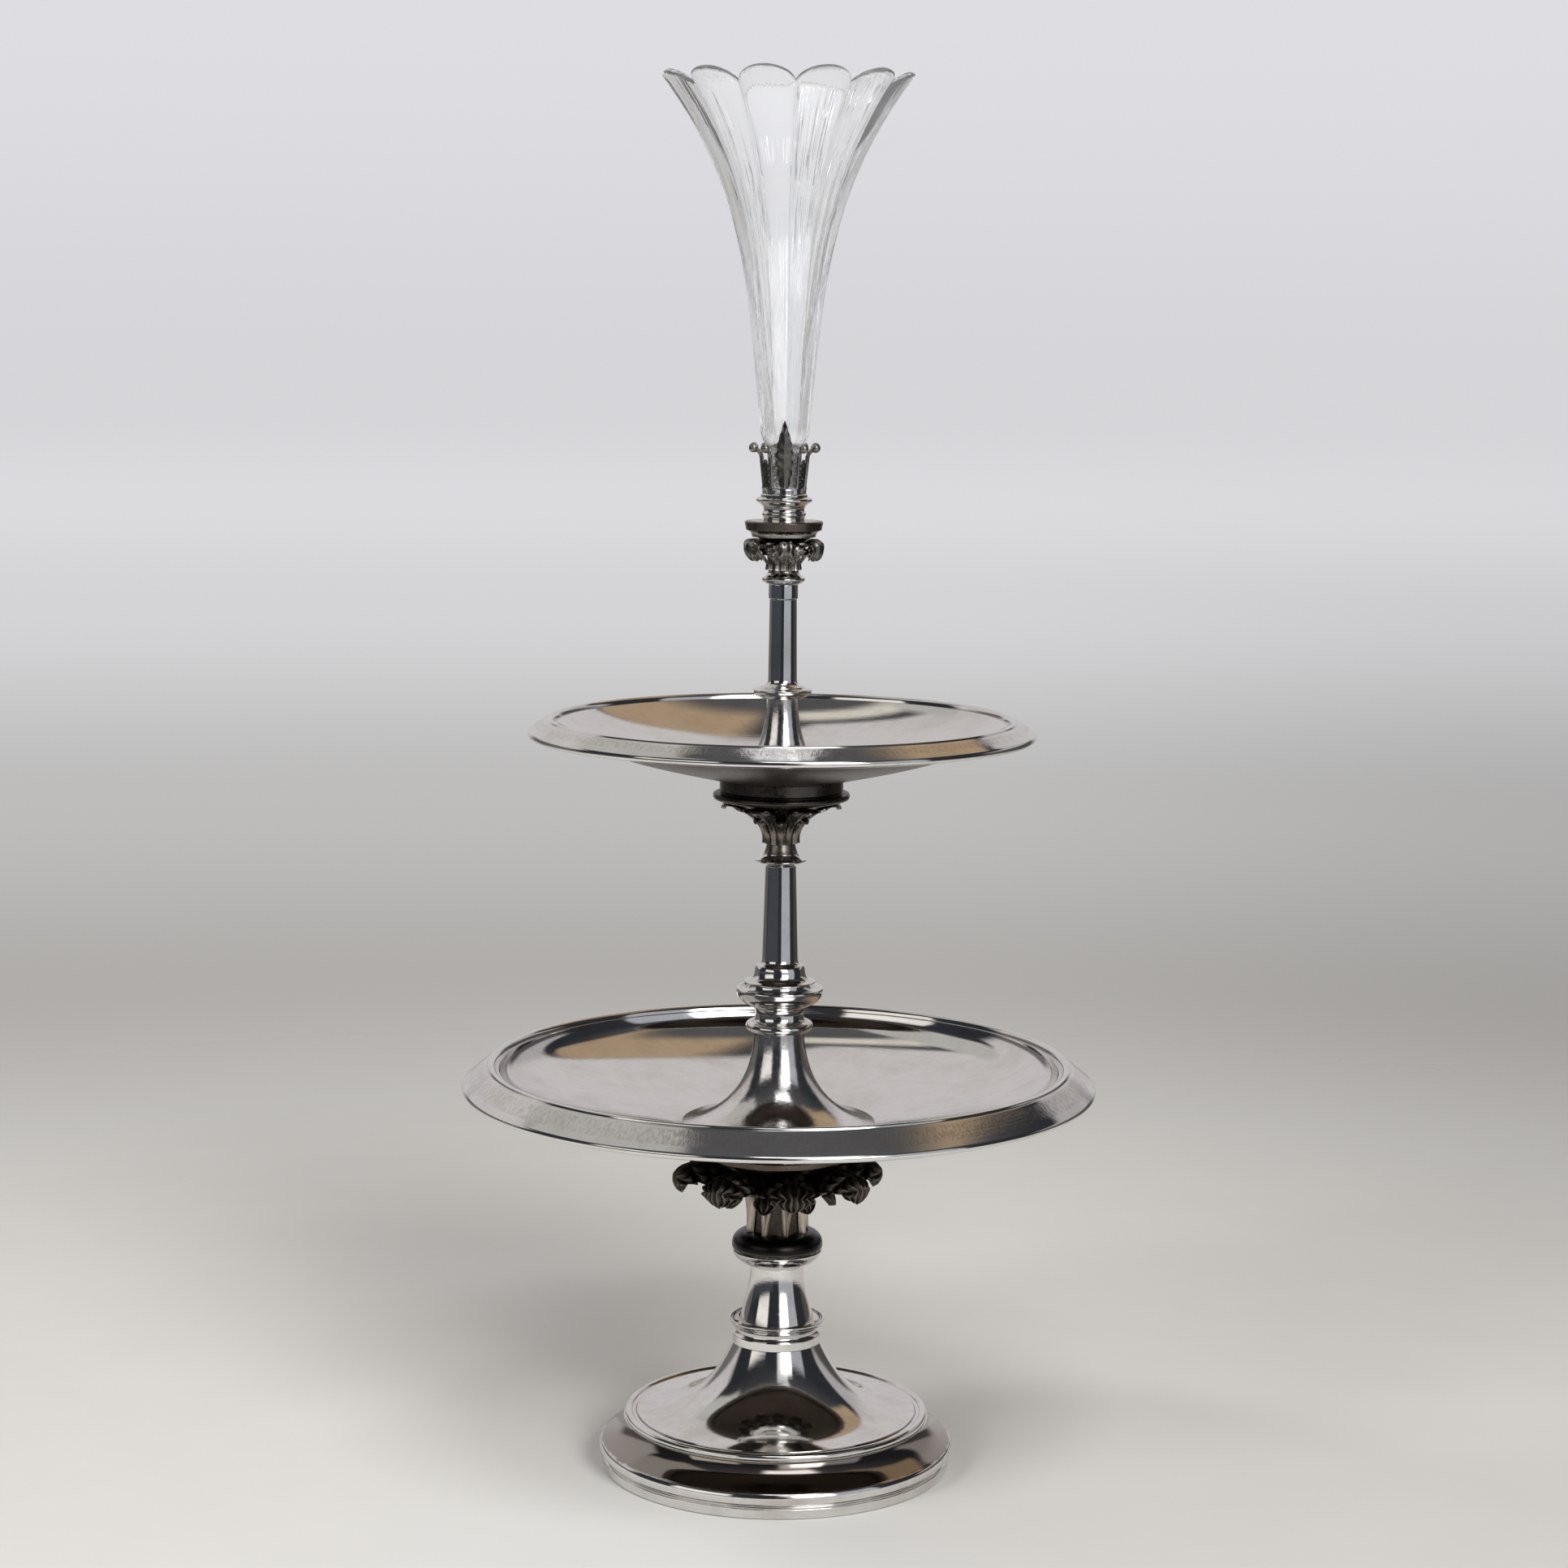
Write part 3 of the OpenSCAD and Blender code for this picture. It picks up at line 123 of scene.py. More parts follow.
def unit(dr: float, dz: float) -> Point:
    """A direction at length one."""
    length = math.hypot(dr, dz) or 1.0
    return dr / length, dz / length


def heading(line: Sequence[Point], i: int) -> Point:
    """Unit direction of a line at its point i."""
    a, b = line[max(i - 1, 0)], line[min(i + 1, len(line) - 1)]
    return unit(b[0] - a[0], b[1] - a[1])


def beside(line: Sequence[Point], w: float) -> Outline:
    """A line moved by w to the left of its direction."""
    ways = [heading(line, i) for i in range(len(line))]
    return [(r - w * dz, z + w * dr) for (r, z), (dr, dz) in zip(line, ways)]


def along(line: Sequence[Point], t: float) -> tuple[Point, Point]:
    """Place and direction at a share of a line's length.

    Args:
        line: Points of the line.
        t: Share of the length, nought to one.

    Returns:
        The point and the unit direction there.
    """
    lengths = [math.dist(a, b) for a, b in zip(line, line[1:])]
    want = t * sum(lengths)
    for i, step in enumerate(lengths):
        if want <= step or i == len(lengths) - 1:
            break
        want -= step
    k = min(want / step, 1.0) if step else 0.0
    way = between(heading(line, i), heading(line, i + 1), k)
    return between(line[i], line[i + 1], k), unit(*way)


def smooth(x: float, low: float, high: float) -> float:
    """Smooth step of x from nought at low to one at high."""
    t = max(0.0, min(1.0, (x - low) / (high - low)))
    return t * t * (3 - 2 * t)


# Hand tools


class Bench:
    """The modelling tools that every sub-assembly uses."""

    SAME_M = 1e-6
    SAME_MM = 0.002
    CREASE = 40.0
    BEVEL_FROM = 32.0

    @staticmethod
    def clear() -> None:
        """Leaves edit mode and deselects everything."""
        if bpy.context.mode != "OBJECT":
            bpy.ops.object.mode_set(mode="OBJECT")
        bpy.ops.object.select_all(action="DESELECT")

    @staticmethod
    def only(obj: Piece, edit: bool = False) -> None:
        """Selects one object alone and makes it active.

        Args:
            obj: The piece.
            edit: Enter edit mode with all of its mesh selected.
        """
        Bench.clear()
        obj.select_set(True)
        bpy.context.view_layer.objects.active = obj
        if edit:
            bpy.ops.object.mode_set(mode="EDIT")
            bpy.ops.mesh.select_all(action="SELECT")

    @staticmethod
    def named(name: str) -> Piece:
        """Names the active object and its mesh."""
        bpy.context.object.name = bpy.context.object.data.name = name
        return bpy.context.object

    @staticmethod
    def apply(obj: Piece, kind: str, **settings: object) -> None:
        """Adds a modifier and applies it.

        Args:
            obj: The piece.
            kind: Modifier type.
            settings: Its properties.
        """
        mod = obj.modifiers.new(kind.title(), kind)
        for key, value in settings.items():
            setattr(mod, key, value)
        Bench.only(obj)
        bpy.ops.object.modifier_apply(modifier=mod.name)

    @staticmethod
    def bevel(obj: Piece, width: float, angle: float) -> None:
        """Rounds the edges that are sharper than an angle in degrees."""
        Bench.apply(obj, "BEVEL", width=width * MM, segments=2, limit_method="ANGLE",
                    angle_limit=math.radians(angle))

    @staticmethod
    def bake(obj: Piece) -> None:
        """Puts a piece's place into its mesh."""
        Bench.only(obj)
        bpy.ops.object.transform_apply(location=True, rotation=True, scale=True)

    @staticmethod
    def settle(obj: Piece, crease: float) -> None:
        """Puts a piece's place into its mesh and smooths edges below crease degrees."""
        Bench.bake(obj)
        bpy.ops.object.shade_smooth_by_angle(angle=math.radians(crease))

    @staticmethod
    def extrude(a: Point, b: Point) -> None:
        """Extrudes what is selected from a to b."""
        step = ((b[0] - a[0]) * MM, 0, (b[1] - a[1]) * MM)
        bpy.ops.mesh.extrude_region_move(TRANSFORM_OT_translate={"value": step})

    @staticmethod
    def close(merge: bool = True) -> None:
        """Turns all faces outwards and leaves edit mode.

        Args:
            merge: Merge points at one place first.
        """
        bpy.ops.mesh.select_all(action="SELECT")
        if merge:
            bpy.ops.mesh.remove_doubles(threshold=Bench.SAME_M)
        bpy.ops.mesh.normals_make_consistent(inside=False)
        Bench.clear()

    @staticmethod
    def turn(name: str, outline: Sequence[Point], steps: int, edge: float = 0.15) -> Piece:
        """Draws a closed outline by extruding a point and spins it round the stem's axis.

        Args:
            name: Name of the piece.
            outline: Radius and height of each point, in order round the section.
            steps: Faces in a full turn.
            edge: Width of the rounding on sharp edges.

        Returns:
            The turned piece.
        """
        points = [outline[0]]
        for p in outline[1:]:
            if math.dist(p, points[-1]) > Bench.SAME_MM:
                points.append(p)
        points.append(points[0])
        Bench.clear()
        start = (points[0][0] * MM, 0, points[0][1] * MM)
        bpy.ops.mesh.primitive_plane_add(size=MM, location=start)
        obj = Bench.named(name)
        bpy.ops.object.mode_set(mode="EDIT")
        bpy.ops.mesh.merge(type="CENTER")
        for a, b in zip(points, points[1:]):
            Bench.extrude(a, b)
        bpy.ops.mesh.select_all(action="SELECT")
        bpy.ops.mesh.remove_doubles(threshold=Bench.SAME_M)
        bpy.ops.mesh.spin(steps=steps, angle=2 * math.pi, center=(0, 0, 0), axis=(0, 0, 1))
        Bench.close()
        Bench.settle(obj, Bench.CREASE)
        Bench.bevel(obj, edge, Bench.BEVEL_FROM)
        Bench.settle(obj, Bench.CREASE)
        return obj

    @staticmethod
    def sheet(name: str, rows: int, cols: int, place: Callable[[float, float], tuple]) -> Piece:
        """Adds a grid and moves each of its points to its place.

        Args:
            name: Name of the piece.
            rows: Points along.
            cols: Points across.
            place: Gives a point in millimetres from the shares along and across.

        Returns:
            The shaped sheet.
        """
        Bench.clear()
        bpy.ops.mesh.primitive_grid_add(x_subdivisions=rows - 1, y_subdivisions=cols - 1, size=2.0)
        obj = Bench.named(name)
        for v in obj.data.vertices:
            v.co = tuple(c * MM for c in place((v.co.x + 1) / 2, (v.co.y + 1) / 2))
        return obj

    @staticmethod
    def ring_of(obj: Piece, count: int, start: float) -> list[Piece]:
        """Copies a piece round the axis, each copy with its own mesh.

        Args:
            obj: The piece, facing +X.
            count: Number of pieces in the ring.
            start: Angle of the first from the front, in degrees.

        Returns:
            All pieces of the ring.
        """
        made = [obj]
        for _ in range(1, count):
            Bench.only(obj)
            bpy.ops.object.duplicate(linked=False)
            made.append(bpy.context.object)
        for i, piece in enumerate(made):
            piece.rotation_euler = (0, 0, math.radians(-90 + start + i * 360 / count))
            Bench.bake(piece)
        return made

    @staticmethod
    def join(name: str, pieces: Sequence[Piece]) -> Piece:
        """Joins pieces into one object.

        Args:
            name: Name of the whole.
            pieces: Its pieces.

        Returns:
            The joined object.
        """
        Bench.clear()
        for p in pieces:
            p.select_set(True)
        bpy.context.view_layer.objects.active = pieces[0]
        bpy.ops.object.join()
        return Bench.named(name)

    @staticmethod
    def mark_relief(obj: Piece, spread: int = 2) -> None:
        """Writes the attribute relief: above nought in hollows, below it on proud edges.

        Args:
            obj: The piece.
            spread: Rounds of averaging over neighbours.
        """
        mesh = obj.data
        n = len(mesh.vertices)
        co, no = np.empty(n * 3), np.empty(n * 3)
        mesh.vertices.foreach_get("co", co)
        mesh.vertices.foreach_get("normal", no)
        co, no = co.reshape(-1, 3), no.reshape(-1, 3)
        ends = np.empty(len(mesh.edges) * 2, dtype=np.int64)
        mesh.edges.foreach_get("vertices", ends)
        a, b = ends.reshape(-1, 2).T
        d = co[b] - co[a]
        d /= np.maximum(np.linalg.norm(d, axis=1, keepdims=True), 1e-9)

        def gather(at_a: np.ndarray | int, at_b: np.ndarray | int) -> np.ndarray:
            """Sums values of all edges at their two ends.

            Args:
                at_a: Values for the first ends.
                at_b: Values for the second ends.

            Returns:
                The sum at each point.
            """
            total = np.zeros(n)
            np.add.at(total, a, at_a)
            np.add.at(total, b, at_b)
            return total

        count = np.maximum(gather(1, 1), 1)
        value = gather((no[a] * d).sum(1), -(no[b] * d).sum(1)) / count
        for _ in range(spread):
            value = 0.5 * value + 0.5 * gather(value[b], value[a]) / count
        relief = mesh.attributes.new("relief", "FLOAT", "POINT")
        relief.data.foreach_set("value", value.astype(np.float32))

    @staticmethod
    def dress(obj: Piece, finish: "Finish") -> None:
        """Gives a piece one finish."""
        obj.data.materials.clear()
        obj.data.materials.append(finish.material())

    @staticmethod
    def keep(name: str, finish: "Finish") -> None:
        """Dresses a solid that stays as it is."""
        Bench.dress(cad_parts[name], finish)
        LOG.info("%s: solid kept", name)

    @staticmethod
    def fit(obj: Piece, body: Body, finish: "Finish", *nodes: str) -> None:
        """Dresses a finished piece and hangs it on its body in place of its solids.

        Args:
            obj: The piece.
            body: The body that it rides on.
            finish: Its finish.
            nodes: Solids that it stands for.
        """
        Bench.mark_relief(obj)
        Bench.dress(obj, finish)
        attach(obj, body.value)
        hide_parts(*nodes)
        LOG.info("%s: %d faces, on %s", obj.name, len(obj.data.polygons), body.value)


# Finishes


class Nodes:
    """A material's node tree with short calls for its nodes and links."""

    def __init__(self, tree: bpy.types.NodeTree) -> None:
        """Empties the tree."""
        self.tree = tree
        tree.nodes.clear()

    def add(self, kind: str, inputs: dict | None = None, **props: object) -> bpy.types.Node:
        """Adds a node.

        Args:
            kind: Node type.
            inputs: Values, colours or sockets for its inputs, by name or number.
            props: Properties of the node.

        Returns:
            The node.
        """
        node = self.tree.nodes.new(kind)
        for key, value in props.items():
            setattr(node, key, value)
        for key, value in (inputs or {}).items():
            socket = node.inputs[key]
            if isinstance(value, Socket):
                self.tree.links.new(value, socket)
            else:
                socket.default_value = (*value, 1.0) if socket.type == "RGBA" else value
        return node

    def math(self, op: str, a: object, b: object = 0.0, clamp: bool = False) -> Socket:
        """Output of a math node on two values or sockets."""
        inputs = {0: a, 1: b, 2: 0.0}
        return self.add("ShaderNodeMath", inputs, operation=op, use_clamp=clamp).outputs[0]

    def times(self, product: object, *factors: object) -> Socket:
        """Product of values or sockets.

        Args:
            product: First of them.
            factors: The others.

        Returns:
            The product.
        """
        for factor in factors:
            product = self.math("MULTIPLY", product, factor)
        return product

    def plus(self, total: object, value: object, share: float) -> Socket:
        """A total with a share of a value added."""
        return self.math("ADD", total, self.times(value, share))

    def step(self, value: object, low: float, high: float, to: Point = (0.0, 1.0)) -> Socket:
        """Smooth step of a value between low and high, from to[0] to to[1]."""
        inputs = {"Value": value, "From Min": low, "From Max": high}
        return self.add("ShaderNodeMapRange", {**inputs, "To Min": to[0], "To Max": to[1]},
                        interpolation_type="SMOOTHSTEP").outputs[0]

    def mix(self, fac: object, a: object, b: object, blend: str = "MIX") -> Socket:
        """Mix of two colours with share fac of the second."""
        inputs = {0: fac, 6: a, 7: b}
        return self.add("ShaderNodeMix", inputs, data_type="RGBA", blend_type=blend).outputs[2]

    def noise(self, place: object, scale: float, detail: float = 3.0, rough: float = 0.5) -> Socket:
        """Value of a noise texture, its scale per metre."""
        inputs = {"Vector": place, "Scale": scale, "Detail": detail, "Roughness": rough}
        return self.add("ShaderNodeTexNoise", inputs).outputs["Fac"]

    def bump(self, height: object, strength: float, depth: float) -> Socket:
        """Normals of a bump, its depth in metres."""
        inputs = {"Strength": strength, "Distance": depth, "Height": height}
        return self.add("ShaderNodeBump", inputs).outputs[0]

    def surface(self, **inputs: object) -> None:
        """Ends the tree in a surface.

        Args:
            inputs: Inputs of the surface, with an underscore for each space in a name.
        """
        named = {key.replace("_", " "): value for key, value in inputs.items()}
        shader = self.add("ShaderNodeBsdfPrincipled", named)
        self.add("ShaderNodeOutputMaterial", {0: shader.outputs[0]})


class Finish:
    """A finish that makes its material once."""

    name: str
    slot: Slot

    def material(self) -> bpy.types.Material:
        """Gives the finish's material.

        Returns:
            The one material of this name.
        """
        found = bpy.data.materials.get(self.name)
        if found:
            return found
        made = bpy.data.materials.new(self.name)
        made.use_nodes = True
        self.paint(Nodes(made.node_tree))
        return made

    def paint(self, n: Nodes) -> None:
        """Builds the node tree."""
        raise NotImplementedError


@dataclass(frozen=True)
class SilverFinish(Finish):
    """Silver plate: clean metal, cloudy tarnish, dark hollows, worn edges with painted highlights
    and lathe lines.

    The neck is two radii and the lighter tone inside them, a painted highlight; the reflection band
    two heights and the painted dark reflection between them; the under colour painted shade on faces
    that point down; the border two radii with worn strokes between them.
    """

    name: str
    slot: Slot
    clean: Colour
    tarnish: Colour
    dark: Colour
    cloud: float
    roughness: float
    hollow_gain: float
    lathe: float
    # Proud edges: rubbed metal; a worn colour brighter than the metal is a painted highlight.
    worn: Colour | None = None
    pits: float = 0.25
    # under: colour of faces that point down, painted shade.
    under: Colour | None = None
    border: Point | None = None
    # Band between two heights in a darker tone: a painted dark reflection.
    reflection_band: tuple[float, float, Colour] | None = None
    matte: float = 0.0
    # A tone near the axis, lighter than the metal: a painted highlight.
    neck: tuple[float, float, Colour] | None = None

    def paint(self, n: Nodes) -> None:
        """Builds the node tree.

        Args:
            n: The material's node tree.
        """
        lathe_scale, edge = 1400.0, 0.4
        coords = n.add("ShaderNodeTexCoord")
        place = coords.outputs["Object"]
        x, y, z = n.add("ShaderNodeSeparateXYZ", {0: place}).outputs
        radius = n.math("SQRT", n.math("ADD", n.math("POWER", x, 2.0), n.math("POWER", y, 2.0)))
        angle = n.math("ARCTAN2", y, x)
        round_axis = n.add("ShaderNodeCombineXYZ", {
            0: n.times(radius, lathe_scale), 1: n.times(z, lathe_scale), 2: n.times(angle, 1.2),
        }).outputs[0]
        relief = n.add("ShaderNodeAttribute", attribute_name="relief").outputs["Fac"]
        clouds = n.noise(place, 46.0, 5.0, 0.62)
        specks = n.noise(place, 620.0, 4.0, 0.6)
        lines = n.noise(round_axis, 1.0, 3.0, 0.6)
        hollow = n.step(relief, 0.02, 0.22)
        proud = n.step(relief, -0.03, -0.2)
        stain = n.times(n.step(clouds, 0.42, 0.74), self.cloud)
        colour = n.mix(stain, self.clean, self.tarnish)
        rough = n.step(specks, 0.3, 0.75, (self.roughness * 0.75, self.roughness * 1.35))
        mottle = n.noise(place, 240.0, 4.0, 0.65)
        colour = n.mix(n.step(mottle, 0.4, 0.75, (0.0, 0.5 * self.cloud)), colour, self.tarnish)
        # Lighter tone near the axis: painted highlight.
        if self.neck:
            inner, outer, tone = self.neck
            colour = n.mix(n.step(radius, outer * MM, inner * MM), colour, tone)
        # Darker, rougher band between two heights: painted dark reflection.
        if self.reflection_band:
            low, high, reflection_tone = self.reflection_band
            wavy = n.plus(z, n.math("SUBTRACT", mottle, 0.5), 0.0016)
            above = n.step(wavy, (low - edge) * MM, (low + edge) * MM)
            black = n.times(above, n.step(wavy, (high + edge) * MM, (high - edge) * MM))
            colour = n.mix(black, colour, reflection_tone)
            rough = n.plus(rough, black, self.matte)
        dirt = n.times(hollow, n.step(specks, 0.2, 0.6, (0.6, 1.0)))
        dirt = n.math("MULTIPLY", dirt, self.hollow_gain, clamp=True)
        colour = n.mix(dirt, colour, self.dark)
        # Proud edges: rubbed metal, and a painted highlight where the worn colour is brighter.
        colour = n.mix(n.times(proud, 0.6), colour, self.worn or self.clean)
        rough = n.plus(rough, stain, 0.06)
        rough = n.plus(rough, self.scratches(n, place), 0.04)
        rough = n.plus(rough, dirt, 0.25)
        height = n.math("ADD", n.times(lines, self.lathe), n.times(specks, self.pits))
        # Faces that point down (on a dish, inside its rim) take the under colour: painted shade.
        if self.under:
            facing = n.add("ShaderNodeSeparateXYZ", {0: coords.outputs["Normal"]}).outputs[2]
            below = n.step(facing, -0.1, -0.35)
            if self.border:
                rim = self.border[1]
                below = n.times(below, n.step(radius, (rim + 0.6) * MM, (rim - 0.2) * MM))
            colour = n.mix(below, colour, self.under)
            rough = n.plus(rough, below, 0.25)
        if self.border:
            cut = self.engraving(n, radius, angle)
            colour = n.mix(n.times(cut, 0.45), colour, self.tarnish)
            height = n.math("SUBTRACT", height, n.times(cut, 0.4))
            rough = n.plus(rough, cut, 0.1)
        normal = n.bump(height, 0.06, 0.0004)
        n.surface(Normal=normal, Base_Color=colour, Metallic=1.0, Roughness=rough)

    @staticmethod
    def scratches(n: Nodes, place: Socket) -> Socket:
        """Fine rubbing marks that run across the metal: one on a mark, nought beside it."""
        inputs = {"Vector": place, "Rotation": (0.5, 0.3, 0.7), "Scale": (90.0, 2600.0, 320.0)}
        return n.step(n.noise(n.add("ShaderNodeMapping", inputs).outputs[0], 1.0, 2.0), 0.58, 0.72)

    def engraving(self, n: Nodes, radius: Socket, angle: Socket) -> Socket:
        """Short worn strokes cut across the border.

        Args:
            n: The node tree.
            radius: Distance from the axis.
            angle: Angle round the axis.

        Returns:
            One in the cuts, nought outside them.
        """
        low, high = self.border[0] * MM, self.border[1] * MM
        soft, per_turn, per_metre = 0.0008, 95.0, 420.0
        band = n.times(n.step(radius, low, low + soft), n.step(radius, high, high - soft))
        inputs = {0: n.times(angle, per_turn), 1: n.times(radius, per_metre)}
        strokes = n.noise(n.add("ShaderNodeCombineXYZ", inputs).outputs[0], 1.0, 3.0, 0.6)
        return n.times(n.step(strokes, 0.40, 0.62), band)


@dataclass(frozen=True)
class PlainMetalFinish(Finish):
    """Turned brass or steel of the inner fixings."""

    name: str
    slot: Slot
    clean: Colour
    dull: Colour
    roughness: float

    def paint(self, n: Nodes) -> None:
        """Builds the node tree.

        Args:
            n: The material's node tree.
        """
        place = n.add("ShaderNodeTexCoord").outputs["Object"]
        clouds = n.noise(place, 160.0, 4.0, 0.6)
        colour = n.mix(n.step(clouds, 0.35, 0.7), self.clean, self.dull)
        rough = n.step(clouds, 0.3, 0.7, (self.roughness, self.roughness + 0.15))
        normal = n.bump(n.noise(place, 900.0), 0.1, 0.0003)
        n.surface(Normal=normal, Base_Color=colour, Metallic=1.0, Roughness=rough)


@dataclass(frozen=True)
class GlassFinish(Finish):
    """Clear pressed glass with faint draw lines."""

    name: str
    slot: Slot
    tint: Colour
    ior: float

    def paint(self, n: Nodes) -> None:
        """Builds the node tree.

        Args:
            n: The material's node tree.
        """
        place = n.add("ShaderNodeTexCoord").outputs["Object"]
        x, y, z = n.add("ShaderNodeSeparateXYZ", {0: place}).outputs
        inputs = {0: n.times(n.math("ARCTAN2", y, x), 11.0), 1: n.times(z, 9.0)}
        wave = n.noise(n.add("ShaderNodeCombineXYZ", inputs).outputs[0], 1.0, 2.0)
        normal = n.bump(wave, 0.3, 0.0008)
        rough = n.step(n.noise(place, 500.0), 0.4, 0.8, (0.0, 0.03))
        n.surface(Normal=normal, Base_Color=self.tint, Roughness=rough, IOR=self.ior,
                  Transmission_Weight=0.94)


SILVER = SilverFinish(
    "silver_plate_worn", Slot.SILVER, clean=(0.80, 0.79, 0.775), tarnish=(0.50, 0.445, 0.385),
    dark=(0.045, 0.038, 0.033), cloud=0.45, roughness=0.07, hollow_gain=0.9, lathe=0.5)
# The plinth's flare carries a darker band: painted dark reflection.
PLINTH_SILVER = replace(
    SILVER, name="silver_plate_plinth", roughness=0.075, reflection_band=(11.0, 20.4, (0.34, 0.305, 0.275)))
CONE_SILVER = replace(
    SILVER, name="silver_plate_pitted", cloud=0.6, roughness=0.14, lathe=0.4, pits=2.0)
# The knop's upper half is painted near black: painted dark reflection of the dish and leaves above
# it.
KNOP_SILVER = replace(
    SILVER, name="silver_plate_knop", roughness=0.08, reflection_band=(93.4, 110.0, (0.018, 0.016, 0.014)),
    matte=0.2)
# The dishes' down-facing faces take a dark under colour: painted shade.
LOWER_DISH_SILVER = replace(
    SILVER, name="silver_plate_lower_dish", cloud=0.3, roughness=0.065, lathe=0.6,
    under=(0.05, 0.039, 0.032), border=(123.4, 130.2))
UPPER_DISH_SILVER = replace(
    LOWER_DISH_SILVER, name="silver_plate_upper_dish", border=(98.6, 102.6))
BROWN_SILVER = replace(
    SILVER, name="silver_plate_brown", clean=(0.11, 0.082, 0.068), tarnish=(0.05, 0.037, 0.031),
    cloud=0.7, roughness=0.32, hollow_gain=0.95, lathe=0.3, worn=(0.34, 0.29, 0.26))
# TOP_BROWN's top is lighter near the axis: painted highlight.
TOP_BROWN = replace(
    BROWN_SILVER, name="silver_plate_brown_top", clean=(0.13, 0.10, 0.085),
    tarnish=(0.06, 0.046, 0.039), roughness=0.24, worn=(0.46, 0.41, 0.37),
    neck=(12.0, 15.4, (0.66, 0.62, 0.57)))
# CAST_SILVER, CAST_MIDDLE and CAST_BLACK dress the parts under the dishes: the casting's dark
# silver, darkened further as painted shade. CAST_GREY is the lighter copy above them. Their worn
# colours are painted highlights on proud edges.
CAST_SILVER = SilverFinish(
    "silver_cast_dark", Slot.DARK, clean=(0.07, 0.06, 0.05), tarnish=(0.025, 0.022, 0.018),
    dark=(0.006, 0.005, 0.004), cloud=0.9, roughness=0.42, hollow_gain=1.0, lathe=0.0,
    worn=(0.21, 0.18, 0.15), neck=(12.6, 16.0, (0.56, 0.49, 0.42)))
CAST_MIDDLE = replace(
    CAST_SILVER, name="silver_cast_middle", clean=(0.075, 0.066, 0.057),
    tarnish=(0.03, 0.026, 0.022), roughness=0.27, worn=(0.30, 0.265, 0.23),
    neck=(8.0, 11.0, (0.24, 0.21, 0.18)))
CAST_BLACK = replace(
    CAST_MIDDLE, name="silver_cast_black", dark=(0.005, 0.005, 0.004), cloud=0.8, roughness=0.28,
    lathe=0.2, worn=(0.26, 0.23, 0.20), neck=None)
CAST_GREY = replace(
    CAST_SILVER, name="silver_cast_grey", clean=(0.24, 0.225, 0.205), tarnish=(0.08, 0.073, 0.066),
    dark=(0.008, 0.007, 0.006), cloud=0.85, roughness=0.24, worn=(0.62, 0.59, 0.54), neck=None)
BRASS = PlainMetalFinish("brass_turned", Slot.BRASS, (0.74, 0.58, 0.30), (0.50, 0.36, 0.17), 0.28)
STEEL = PlainMetalFinish("steel_plain", Slot.STEEL, (0.52, 0.52, 0.53), (0.33, 0.31, 0.30), 0.35)
GLASS = GlassFinish("glass_clear", Slot.GLASS, (0.985, 0.992, 0.995), 1.5)


# Leaves


